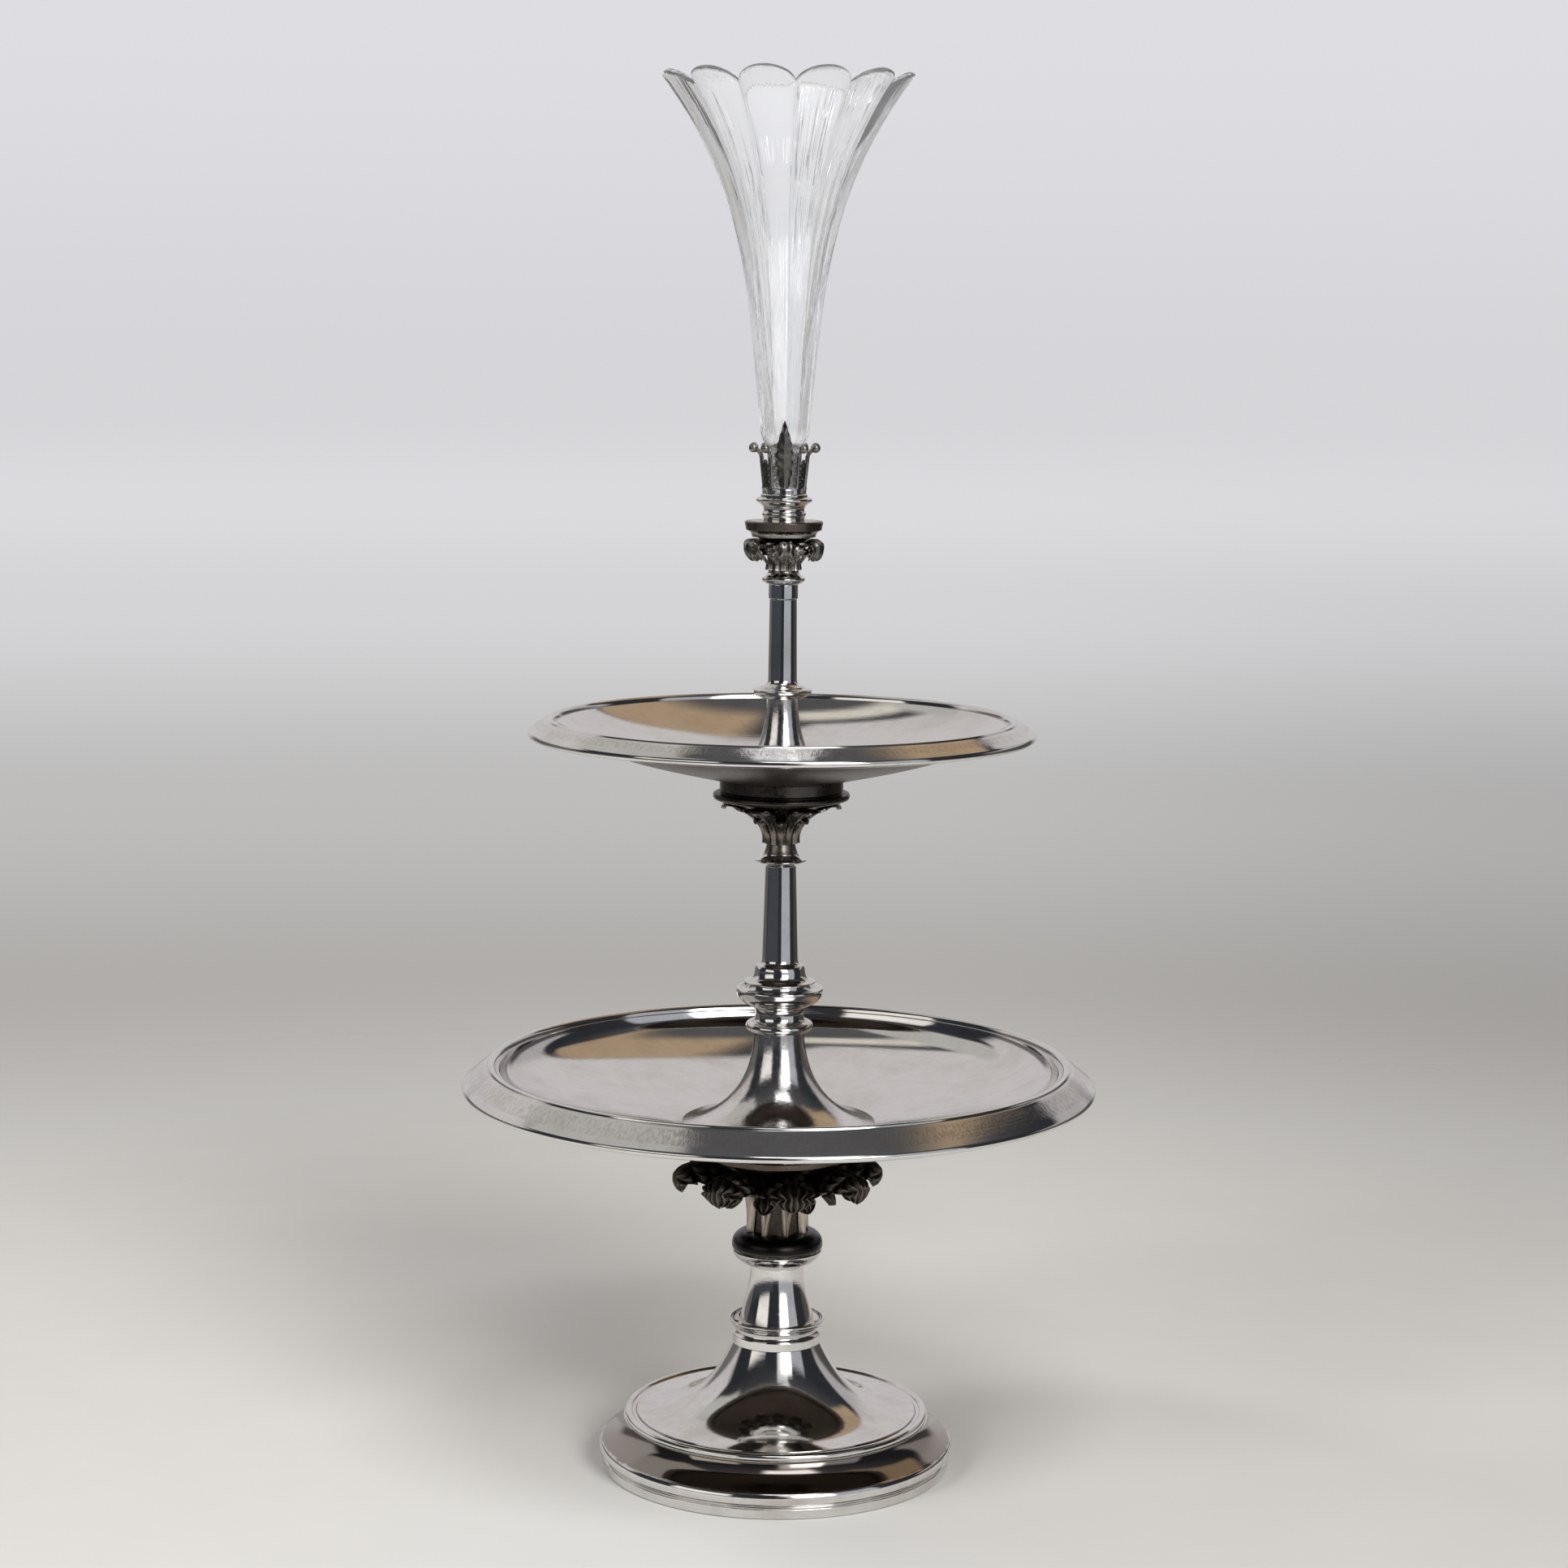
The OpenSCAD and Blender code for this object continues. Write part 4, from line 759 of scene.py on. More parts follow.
@dataclass
class Leaf:
    """A cast leaf that wraps round the axis, with lobed sides, a keel and side veins."""

    spine: Outline
    stalk_w: float
    blade_w: float
    lobes: int
    keel_t: float
    vein: float
    rows: int
    cols: int
    start: float = 0.3
    fold: float = 0.0
    fold_peak: float = 0.6
    edge_t: float = 0.6
    bite: float = 0.22
    ribs: int = 0
    rib_h: float = 0.0
    slant: float = 0.0

    SWELL = 0.4
    TIP = 0.8
    STALK_EDGE = 0.1
    CREASE = 50.0

    def swell(self, t: float) -> float:
        """How far the stalk has widened to the blade at share t of the length."""
        return smooth(t, self.start, self.start + self.SWELL)

    def half_width(self, t: float) -> float:
        """Half-width at a share of the length.

        Args:
            t: Share of the spine's length.

        Returns:
            The half-width.
        """
        swell, past = self.swell(t), (t - self.TIP) / 0.2
        closing = 1.0 if t < self.TIP else math.sqrt(max(0.03, 1 - past ** 2))
        notch = abs(math.sin(math.pi * (self.lobes * t))) ** 0.7
        width = self.stalk_w + (self.blade_w - self.stalk_w) * swell
        return width * closing * (1 - self.bite * swell * (1 - notch))

    def folding(self, t: float) -> float:
        """How far the edges fold forwards at a share of the length.

        Args:
            t: Share of the spine's length.

        Returns:
            The fold's depth.
        """
        up = smooth(t, 0.35, self.fold_peak)
        down = max(0.0, min(1.0, (1 - t) / (1 - self.fold_peak)))
        return self.fold * up * (0.15 + 0.85 * down)

    def place(self, t: float, across: float, front: bool) -> tuple[float, float, float]:
        """A point of the leaf's skin.

        Args:
            t: Share along the spine.
            across: Share across, nought to one.
            front: On the front skin, not the back skin.

        Returns:
            The point, for a leaf that faces +X.
        """
        s = 2 * across - 1
        (r, z), (dr, dz) = along(self.spine, t)
        rib = math.exp(-(s / 0.16) ** 2)
        waves = math.cos(2 * math.pi * (self.lobes * (t - 0.10 * abs(s)) + 0.5))
        side = waves * abs(s) * self.swell(t)
        edge = self.STALK_EDGE + (self.edge_t - self.STALK_EDGE) * smooth(t, 0.15, 0.45)
        thick = edge + (self.keel_t - edge) * (1 - s * s)
        blade = smooth(t, 0.3, 0.5)
        fan = math.cos(math.pi * self.ribs * s) * self.rib_h * blade
        vein = self.vein * (0.7 * rib + 0.5 * side)
        back = -0.8 * vein * blade
        lift = self.folding(t) * s * s + fan + (thick + vein if front else back)
        lean = math.radians(self.slant) * (1 - smooth(t, 0.0, 0.45))
        angle = s * self.half_width(t) / max(r, 1.0) + lean
        rr, zz = r + dz * lift, z - dr * lift
        return rr * math.cos(angle), rr * math.sin(angle), zz

    def model(self, name: str) -> Piece:
        """Shapes the leaf as one closed skin.

        Args:
            name: Name of the leaf.

        Returns:
            The leaf, facing +X.
        """
        skins = [Bench.sheet(f"{name}_{side}", self.rows, self.cols,
                             lambda t, s, front=front: self.place(t, s, front))
                 for side, front in (("front", True), ("back", False))]
        leaf = Bench.join(name, skins)
        Bench.only(leaf, edit=True)
        bpy.ops.mesh.select_all(action="DESELECT")
        bpy.ops.mesh.select_non_manifold()
        bpy.ops.mesh.bridge_edge_loops()
        Bench.close(merge=False)
        Bench.settle(leaf, self.CREASE)
        return leaf


@dataclass
class PointedLeaf(Leaf):
    """A tall leaf with a saw edge and a sharp tip."""

    def half_width(self, t: float) -> float:
        """Half-width at a share of the length.

        Args:
            t: Share of the spine's length.

        Returns:
            The half-width.
        """
        saw = 1 - 0.22 * (1 - abs(math.sin(math.pi * self.lobes * t)))
        belly = self.stalk_w + (self.blade_w - self.stalk_w) * math.sin(math.pi * t)
        return max(0.25, belly * (1 - 0.86 * t ** 4) * saw)


# Sub-assemblies


class Assembly:
    """Pieces that ride on one body."""

    body: Body

    def fit(self, obj: Piece, finish: Finish, node: str) -> None:
        """Dresses a piece and hangs it on the body in place of its solid."""
        Bench.fit(obj, self.body, finish, node)

    def lathe(self, name: str, finish: Finish, node: str, z: float, line: Outline,
              steps: int = 128) -> None:
        """Turns a section that stands at height z, dresses the piece and hangs it on the body."""
        self.fit(Bench.turn(name, lifted(line, z), steps), finish, node)


@dataclass
class Foot(Assembly):
    """Plinth, bell, collar, stem and knop."""

    body = Body.BASE
    bell_foot_r: float = 59.0
    step_r: float = 64.6
    base_r: float = 75.0
    band_h: float = 4.6
    band_in: float = 1.4
    torus_r: float = 3.7
    torus_z: float = 8.6
    cove_z: float = 13.0
    cove_h: float = 7.6
    bead_r: float = 1.7
    plinth_h: float = 22.2
    ledge_w: float = 4.6
    sheet_t: float = 1.2
    cast_t: float = 2.0
    bell_h: float = 30.8
    collar_z: float = 53.0
    collar_h: float = 5.2
    collar_r: float = 18.45
    lip_h: float = 5.2
    lip_t: float = 0.8
    stem_foot_r: float = 16.4
    stem_neck_r: float = 11.2
    stem_z: float = 58.2
    stem_h: float = 28.0
    knop_z: float = 86.2
    knop_h: float = 14.8
    knop_r: float = 19.3
    knop_top_r: float = 12.6
    groove: float = 0.9
    bore_r: float = 4.25
    web_t: float = 3.0

    def build(self) -> None:
        """Models and dresses the pieces from the floor up."""
        self.plinth()
        self.bell()
        self.collar()
        self.stem()
        self.knop()

    def plinth(self) -> None:
        """Turns the stepped plinth with its torus, flare and bead."""
        base, step, top, foot = self.base_r, self.step_r, self.plinth_h, self.bell_foot_r
        band_r, back_r, cove = base - self.band_in, step - 3.6, self.cove_z
        wall_r = band_r - self.cast_t
        flat, inner_z = top - self.sheet_t, self.torus_z + 1.8
        line = [(wall_r, 0), (band_r - 0.4, 0), (band_r, 0.4), (band_r, self.band_h - 0.6)]
        line += [(band_r - 1, self.band_h)]
        line += arc(base - self.torus_r, self.torus_z, self.torus_r, -68, 38, 14)
        line += [(base - 1.3, self.torus_z + 2.5)]
        line += cubic((base - 1.4, cove - 1.8), (base - 4.8, cove), (step + 0.6, cove + 1.6),
                      (step - 1.4, cove + 0.9 * self.cove_h), 24)
        line += [(step, cove + self.cove_h + 0.4)]
        line += arc(step - 0.4 - self.bead_r, top - 0.1, self.bead_r, -35, 155, 14)
        line += [(foot + 0.4, top + 0.6), (foot + 0.3, top), (foot - self.ledge_w, top)]
        line += [(foot - self.ledge_w, flat), (back_r, flat), (back_r, inner_z)]
        line += [(base - self.torus_r - 0.6, inner_z), (wall_r, self.torus_z)]
        self.lathe("plinth", PLINTH_SILVER, "base_plinth", 0.0, line, 192)

    def hollowed(self, line: Outline, h: float, wall: float, low: float = -1.0) -> Outline:
        """Closes a bell or stem: a web with a bore at its top, a wall below it.

        Args:
            line: Outer line from the foot up.
            h: Height of the piece.
            wall: Thickness of the wall.
            low: The inner line starts above this height.

        Returns:
            The closed section.
        """
        inner = [q for q in beside(line, wall) if low < q[1] < h - self.web_t]
        return line + [(self.bore_r, h), (self.bore_r, h - self.web_t)] + inner[::-1]

    def bell(self) -> None:
        """Spins the hollow bell."""
        r, h, t = self.collar_r, self.bell_h, self.sheet_t
        flare = self.bell_foot_r - r
        line = cubic((self.bell_foot_r, t), (r + 0.41 * flare, t), (r + 0.173 * flare, 0.48 * h),
                     (r, h), 48)
        self.lathe("bell", SILVER, "base_bell", self.plinth_h, self.hollowed(line, h, t), 192)

    def collar(self) -> None:
        """Turns the collar with its turned-up lip."""
        h, r, lip, t = self.collar_h, self.collar_r, self.lip_h, self.lip_t
        out = r + 1.75
        line = [(self.bore_r, 0), (r, 0), (r, 0.68 * h), (r - 1, 0.84 * h)]
        line += cubic((r - 1.3, h), (r - 0.6, h + 0.4 * lip), (out - 0.4, h + 0.45 * lip),
                      (out, h + lip - 0.3))
        line += [(out - 0.25, h + lip), (out - t, h + lip - 0.1)]
        line += cubic((out - t, h + lip - 0.3), (out - 1.1, h + 0.5 * lip),
                      (r - 1.3, h + 0.45 * lip), (self.stem_foot_r + 0.1, h))
        self.lathe("collar", SILVER, "stem_collar", self.collar_z, line + [(self.bore_r, h)])

    def stem(self) -> None:
        """Turns the waisted stem."""
        foot, neck, h = self.stem_foot_r, self.stem_neck_r, self.stem_h
        line = cubic((foot, 0), (foot - 1.1, 0.35 * h), (neck + 0.2, 0.56 * h), (neck, h), 32)
        whole = self.hollowed(line, h, self.cast_t, 0.0) + [(foot - self.cast_t, 0)]
        self.lathe("stem", SILVER, "stem_vase", self.stem_z, whole)

    def knop(self) -> None:
        """Turns the flat knop with its groove."""
        h, r, neck = self.knop_h, self.knop_r, self.stem_neck_r
        rim, cut_r = 0.46 * h, r - self.groove
        line = [(self.bore_r, 0)]
        line += cubic((neck + 0.2, 0), (neck + 0.28 * (r - neck), 0.06 * h), (r - 1.5, 0.18 * h),
                      (r, rim))
        line += [(cut_r, rim + 0.3), (cut_r, rim + 0.8)]
        line += cubic((r - 0.2, rim + 1.2), (r + 0.3, 0.86 * h), (r - 2.4, h), (self.knop_top_r, h))
        self.lathe("knop", KNOP_SILVER, "stem_knop", self.knop_z, line + [(self.bore_r, h)])


@dataclass
class Capital(Assembly):
    """A leaf capital: turned core, big leaves, small leaves between them, abacus.

    The waist gives two handles of the core: inwards from the neck, share of the height.
    """

    z: float
    h: float
    neck_r: float
    top_r: float
    waist: tuple[Point, Point]
    reach: float
    half_w: float
    abacus_r: float
    abacus_h: float
    bore_r: float
    count: int
    turned: float
    off: float = 0.3
    nut_h: float = 2.5

    def core(self, name: str, finish: Finish, node: str) -> Outline:
        """Turns the core.

        Args:
            name: Name of the piece.
            finish: Its finish.
            node: Solid that it stands for.

        Returns:
            Its skin: the outer line, moved off by the gap of the leaves.
        """
        handles = [(self.neck_r - inwards, share * self.h) for inwards, share in self.waist]
        line = cubic((self.neck_r, 0), *handles, (self.top_r, self.h), 32)
        whole = [(self.bore_r, 0), *line, (self.bore_r, self.h)]
        self.lathe(name, finish, node, self.z, whole)
        return beside(line, -self.off)

    @staticmethod
    def spine(stem: Outline, *curves: tuple[Point, Point, Point, int]) -> Outline:
        """Spine of a leaf: its stem and curves from there on.

        Args:
            stem: Points on the core's skin.
            curves: Two handles, the end and the steps of each curve.

        Returns:
            The whole spine.
        """
        line = list(stem)
        for first, second, end, steps in curves:
            line += cubic(line[-1], first, second, end, steps)[1:]
        return line

    def leaves(self, name: str, finish: Finish, node: str, big: Leaf, small: Leaf) -> None:
        """Copies two leaves round the core and fits them as one piece.

        Args:
            name: Name of the piece.
            finish: Its finish.
            node: Solid that it stands for.
            big: The first leaf.
            small: The leaf halfway between two of the first.
        """
        ring: list[Piece] = []
        for leaf, start in ((big, self.turned), (small, self.turned + 180 / self.count)):
            leaf.spine = lifted(leaf.spine, self.z)
            ring += Bench.ring_of(leaf.model(name), self.count, start)
        self.fit(Bench.join(name, ring), finish, node)


@dataclass
class LowerCapital(Capital):
    """Leaf capital and abacus under the lower dish."""

    body = Body.BASE
    z: float = 101.0
    h: float = 30.0
    neck_r: float = 10.6
    top_r: float = 25.4
    waist: tuple[Point, Point] = ((0.8, 0.5), (0.1, 0.82))
    reach: float = 43.8
    half_w: float = 13.0
    abacus_r: float = 30.2
    abacus_top_r: float = 24.2
    abacus_h: float = 14.8
    bore_r: float = 4.25
    nut_r: float = 8.0
    count: int = 8
    turned: float = 9.0

    def build(self) -> None:
        """Models and dresses the core, the leaves and the abacus."""
        skin = self.core("capital_core", CAST_BLACK, "lower_capital")
        big = Leaf(self.blade(skin[0:29:2]), stalk_w=1.35, blade_w=self.half_w, lobes=8, keel_t=2.2,
                   vein=0.9, rows=68, cols=57, fold=9.0, bite=0.46, ribs=7, rib_h=0.6, slant=8.0)
        small = Leaf(self.bud(skin[0:15:2]), stalk_w=1.1, blade_w=6.6, lobes=5, keel_t=1.9,
                     vein=0.5, rows=40, cols=33, fold=3.0, bite=0.42, ribs=4, rib_h=0.55,
                     slant=-12.0)
        self.leaves("capital_leaves", CAST_SILVER, "lower_capital_leaves", big, small)
        self.abacus()

    def blade(self, stem: Outline) -> Outline:
        """Spine of a big leaf: up its stem, outwards and down."""
        (r, z), out, h = stem[-1], self.reach, self.h
        return self.spine(
            stem, ((r + 4, z + 0.043 * h), (0.86 * out, 1.12 * h), (out, 0.84 * h), 12),
            ((out + 0.9, 0.74 * h), (out - 0.4, 0.66 * h), (0.92 * out, 0.6 * h), 10))

    def bud(self, stem: Outline) -> Outline:
        """Spine of a small leaf, which hangs below the big ones."""
        (r, z), h = stem[-1], self.h
        return self.spine(
            stem, ((r + 0.8, z + 0.22 * h), (r + 11.5, z + 0.3 * h), (r + 13, z - 0.14 * h), 16))

    def abacus(self) -> None:
        """Turns the round abacus."""
        r, h, t = self.abacus_r, self.abacus_h, self.abacus_top_r
        nut_z = h - self.nut_h
        line = [(self.bore_r, 0)]
        line += cubic((r - 4.5, 0), (r - 2.5, 0.04 * h), (r - 1, 0.12 * h), (r - 0.4, 0.17 * h), 8)
        line += [(r, 0.19 * h), (r, 0.36 * h), (r - 1.6, 0.4 * h), (r - 1.6, 0.5 * h)]
        line += cubic((r - 2.2, 0.54 * h), (r - 2.2, 0.8 * h), (t + 1, 0.7 * h), (t, h))
        line += [(self.nut_r, h), (self.nut_r, nut_z), (self.bore_r, nut_z)]
        self.lathe("abacus_lower", BROWN_SILVER, "lower_abacus", self.z + self.h, line)


@dataclass
class Saucer:
    """A spun dish with a crest between two lines, a sloping border and a beaded edge.

    The wall gives its curve's handles: rise of the first, run and rise of the second.
    """

    name: str
    node: str
    body: Body
    z: float
    hole_r: float
    flat_r: float
    crest_r: float
    border_w: float
    drop: float
    h: float
    finish: Finish
    wall: tuple[float, float, float] = (0.27, 0.026, 0.35)
    sheet_t: float = 1.2
    crest_round: float = 1.9
    bead: float = 1.7
    cut: float = 0.45

    STEPS = 256
    EDGE = 0.12
    CREST_IN = 175

    def build(self) -> None:
        """Models and dresses the dish."""
        dish = Bench.turn(self.name, lifted(self.outline(), self.z), self.STEPS, self.EDGE)
        Bench.fit(dish, self.body, self.finish, self.node)

    def outline(self) -> Outline:
        """Section of the dish.

        Returns:
            Its closed outline.
        """
        rise = self.crest_r - self.flat_r
        t, rr, b, cut = self.sheet_t, self.crest_round, self.bead, self.cut
        slope = math.atan2(self.drop - rr, self.border_w - rr)
        down, level = math.sin(slope), math.cos(slope)
        start = math.degrees(math.pi / 2 - slope)
        cr, cz = self.crest_r, self.h - rr
        inner = math.radians(self.CREST_IN)
        foot = (cr + rr * math.cos(inner), cz + rr * math.sin(inner))
        shelf = (foot[0] - 1.5, foot[1] - 0.5)
        low, run, high = self.wall
        floor = [(self.hole_r, t)]
        floor += cubic((self.flat_r, t), (self.flat_r + 0.5 * rise, t + low * self.h),
                       (shelf[0] - run * rise, t + high * self.h), shelf, 64)
        under = beside(floor + arc(cr, cz, rr, self.CREST_IN, start, 14), -t)
        line = floor + [(foot[0] - 0.9, foot[1] - cut - 0.3), (foot[0] - 0.2, foot[1] - cut - 0.2)]
        line += arc(cr, cz, rr, 165, start + 6, 14)
        out_r, out_z = cr + rr * down, cz + rr * level
        for far, deep in ((0.5, cut), (1.0, cut), (1.3, 0.0)):
            line += [(out_r + far * level - deep * down, out_z - far * down - deep * level)]
        bead_r, bead_z = cr + self.border_w - b, self.h - self.drop - 0.3
        line += [(bead_r + b * down, bead_z + b * level)]
        line += arc(bead_r, bead_z, b, start, start - 180, 14)
        return line + under[::-1]


@dataclass
class Column(Assembly):
    """What both columns share: a hollow cone at the foot and a tapered shaft."""

    cone_z: float
    cone_foot_r: float
    cone_top_r: float
    cone_h: float
    bush_r: float
    bore_r: float
    sheet_t: float = 1.2

    def hollow(self, curve: Outline) -> Outline:
        """Closes the section of a cone that stands on a thin rim and holds a bush.

        Args:
            curve: Outer line from the foot up.

        Returns:
            The closed section.
        """
        foot, h = self.cone_foot_r, self.cone_h
        line = [(foot, 0.2)] + curve
        inside = beside(line, self.sheet_t)
        inner = [q for q in inside if q[0] > self.bush_r + 0.3 and q[1] > 0]
        bush = [(self.bush_r, h), (self.bush_r, inner[-1][1] + 0.5)]
        return [(foot - 1, 0)] + line + bush + inner[::-1]

    @staticmethod
    def taper(a: Point, b: Point) -> Outline:
        """Points on the way from a to b, and b."""
        return [between(a, b, k) for k in (0.25, 0.5, 0.75)] + [b]


@dataclass
class LowerColumn(Column):
    """Cone, ring, cup knop, stage, shaft and astragal between the dishes."""

    body = Body.LOWER_COLUMN
    cone_z: float = 147.4
    cone_foot_r: float = 40.5
    cone_top_r: float = 10.3
    cone_h: float = 39.6
    bush_r: float = 8.35
    ring_z: float = 187.0
    ring_r: float = 14.6
    ring_h: float = 4.2
    neck_h: float = 5.8
    cup_z: float = 197.0
    cup_r: float = 18.4
    cup_h: float = 10.6
    stage_z: float = 207.6
    stage_r: float = 10.5
    stage_h: float = 7.4
    shaft_z: float = 215.0
    shaft_foot_r: float = 7.5
    shaft_top_r: float = 6.4
    shaft_h: float = 42.0
    tube_t: float = 1.6
    astragal_z: float = 257.0
    astragal_r: float = 10.7
    astragal_h: float = 5.4
    bore_r: float = 3.25

    def build(self) -> None:
        """Models and dresses the pieces from the dish up."""
        self.cone()
        self.ring()
        self.cup()
        self.stage()
        self.shaft()
        self.astragal()

    def cone(self) -> None:
        """Spins the trumpet cone."""
        foot, top, h = self.cone_foot_r, self.cone_top_r, self.cone_h
        curve = cubic((foot, 0.9), (top + 0.36 * (foot - top), 0.11 * h), (top + 1.2, 0.47 * h),
                      (top, h), 44)
        self.lathe("cone_lower", CONE_SILVER, "lower_cone", self.cone_z, self.hollow(curve), 160)

    def ring(self) -> None:
        """Turns the half-round ring and the neck above it."""
        r, h, neck, top = self.ring_r, self.ring_h, self.cone_top_r, self.ring_h + self.neck_h
        line = [(self.bore_r, 0), (neck, 0)]
        line += cubic((neck + 1, 0), (r + 0.4, 0), (r + 0.4, h), (neck + 1.4, h))
        line += cubic((neck + 0.5, h + 0.5), (neck - 0.3, h + 1.5),
                      (neck - 0.3, h + 0.7 * self.neck_h), (neck, top), 12)
        self.lathe("ring_lower", SILVER, "lower_ring", self.ring_z, line + [(self.bore_r, top)])

    def cup(self) -> None:
        """Turns the cup knop with its rim."""
        r, h, neck, stage = self.cup_r, self.cup_h, self.cone_top_r, self.stage_r
        rim = 0.8 * h
        line = [(self.bore_r, 0), (neck, 0)]
        line += cubic((neck + 0.5, 0.3), (neck + 0.7 * (r - neck), 0.16 * h), (r - 0.4, 0.42 * h),
                      (r, rim - 0.6))
        line += [(r - 0.3, rim), (r - 1.2, rim - 0.1)]
        line += cubic((r - 2, rim - 0.9), (stage + 3, rim - 1.2), (stage + 2.5, rim + 0.1),
                      (stage + 2, h), 10)
        self.lathe("cup_knop_turned", SILVER, "cup_knop", self.cup_z, line + [(self.bore_r, h)])

    def stage(self) -> None:
        """Turns the stage under the shaft."""
        r, h = self.stage_r, self.stage_h
        skirt = r + 4.4
        line = [(self.bore_r, 0), (r + 2, 0), (skirt, 0.1), (skirt, 0.6)]
        line += cubic((skirt - 0.3, 0.8), (r + 0.8, 0.16 * h), (r + 0.2, 0.45 * h),
                      (r, 0.86 * h), 14)
        line += [(r - 0.6, h), (self.bore_r, h)]
        self.lathe("stage_turned", SILVER, "shaft_stage", self.stage_z, line)

    def shaft(self) -> None:
        """Turns the tapered shaft."""
        foot, top, h = self.shaft_foot_r, self.shaft_top_r, self.shaft_h
        tube, start = top - self.tube_t, (foot, 3.6)
        line = [(tube, 0)] + cubic((foot + 2, 0), (foot + 0.4, 0.6), (foot, 1.4), start, 10)
        line += self.taper(start, (top, h)) + [(tube, h)]
        self.lathe("shaft_lower", SILVER, "lower_shaft", self.shaft_z, line)

    def astragal(self) -> None:
        """Turns the sharp ring on the shaft."""
        r, h, foot = self.astragal_r, self.astragal_h, self.shaft_top_r
        neck = foot + 0.6
        line = [(self.bore_r, 0), (foot + 0.4, 0)]
        line += cubic((foot + 0.6, 0.3), (foot + 1.2, 0.24 * h), (r - 1, 0.3 * h),
                      (r, 0.38 * h), 10)
        line += [(r, 0.46 * h)]
        line += cubic((r - 0.2, 0.5 * h), (r - 2, 0.6 * h), (neck + 0.6, 0.7 * h),
                      (neck + 0.2, h), 10)
        self.lathe("astragal_lower", SILVER, "lower_astragal", self.astragal_z,
                   line + [(self.bore_r, h)])


@dataclass
class MiddleCapital(Capital):
    """Leaf capital and stepped abacus under the upper dish."""

    body = Body.LOWER_COLUMN
    z: float = 262.4
    h: float = 22.0
    neck_r: float = 7.0
    top_r: float = 23.3
    waist: tuple[Point, Point] = ((2.8, 0.3), (1.8, 0.75))
    reach: float = 24.6
    half_w: float = 6.4
    abacus_r: float = 28.7
    abacus_top_r: float = 25.7
    abacus_h: float = 9.4
    bore_r: float = 3.25
    nut_r: float = 6.2
    count: int = 6
    turned: float = 30.0

    def build(self) -> None:
        """Models and dresses the core, the leaves that lie on it and the abacus."""
        skin = self.core("middle_core", CAST_MIDDLE, "middle_capital")
        big = Leaf(self.blade(skin[6:31:2]), stalk_w=1.5, blade_w=self.half_w, lobes=4, keel_t=1.3,
                   vein=0.5, rows=36, cols=19, fold=1.0, fold_peak=0.7)
        small = Leaf(self.bud(skin[6:19:2]), stalk_w=1.4, blade_w=2.6, lobes=3, keel_t=1.0,
                     vein=0.3, rows=24, cols=13)
        self.leaves("middle_leaves", CAST_MIDDLE, "middle_capital_leaves", big, small)
        self.abacus()

    def blade(self, stem: Outline) -> Outline:
        """Spine of a big leaf: up the bell and over its edge."""
        (r, z), out, h = stem[-1], self.reach, self.h
        return self.spine(
            stem, ((r + 2, z + 0.02 * h), (out, 0.97 * h), (out + 0.2, 0.84 * h), 8))

    def bud(self, stem: Outline) -> Outline:
        """Spine of a small leaf."""
        (r, z), h = stem[-1], self.h
        return self.spine(
            stem, ((r + 0.4, z + 0.1 * h), (r + 4.4, z + 0.14 * h), (r + 4, z), 8))

    def abacus(self) -> None:
        """Turns the two stepped discs."""
        r, h, top = self.abacus_r, self.abacus_h, self.abacus_top_r
        groove, nut_z = top - 0.6, h - self.nut_h
        line = [(self.bore_r, 0), (self.top_r + 0.4, 0), (r - 2.2, 0.04 * h)]
        line += cubic((r - 1.6, 0.06 * h), (r, 0.06 * h), (r, 0.3 * h), (r - 0.6, 0.34 * h), 10)
        line += [(groove, 0.36 * h), (groove, 0.42 * h), (top, 0.46 * h), (top, h - 0.4)]
        line += [(top - 0.4, h), (self.nut_r, h), (self.nut_r, nut_z), (self.bore_r, nut_z)]
        self.lathe("abacus_middle", CAST_BLACK, "middle_abacus", self.z + self.h, line)


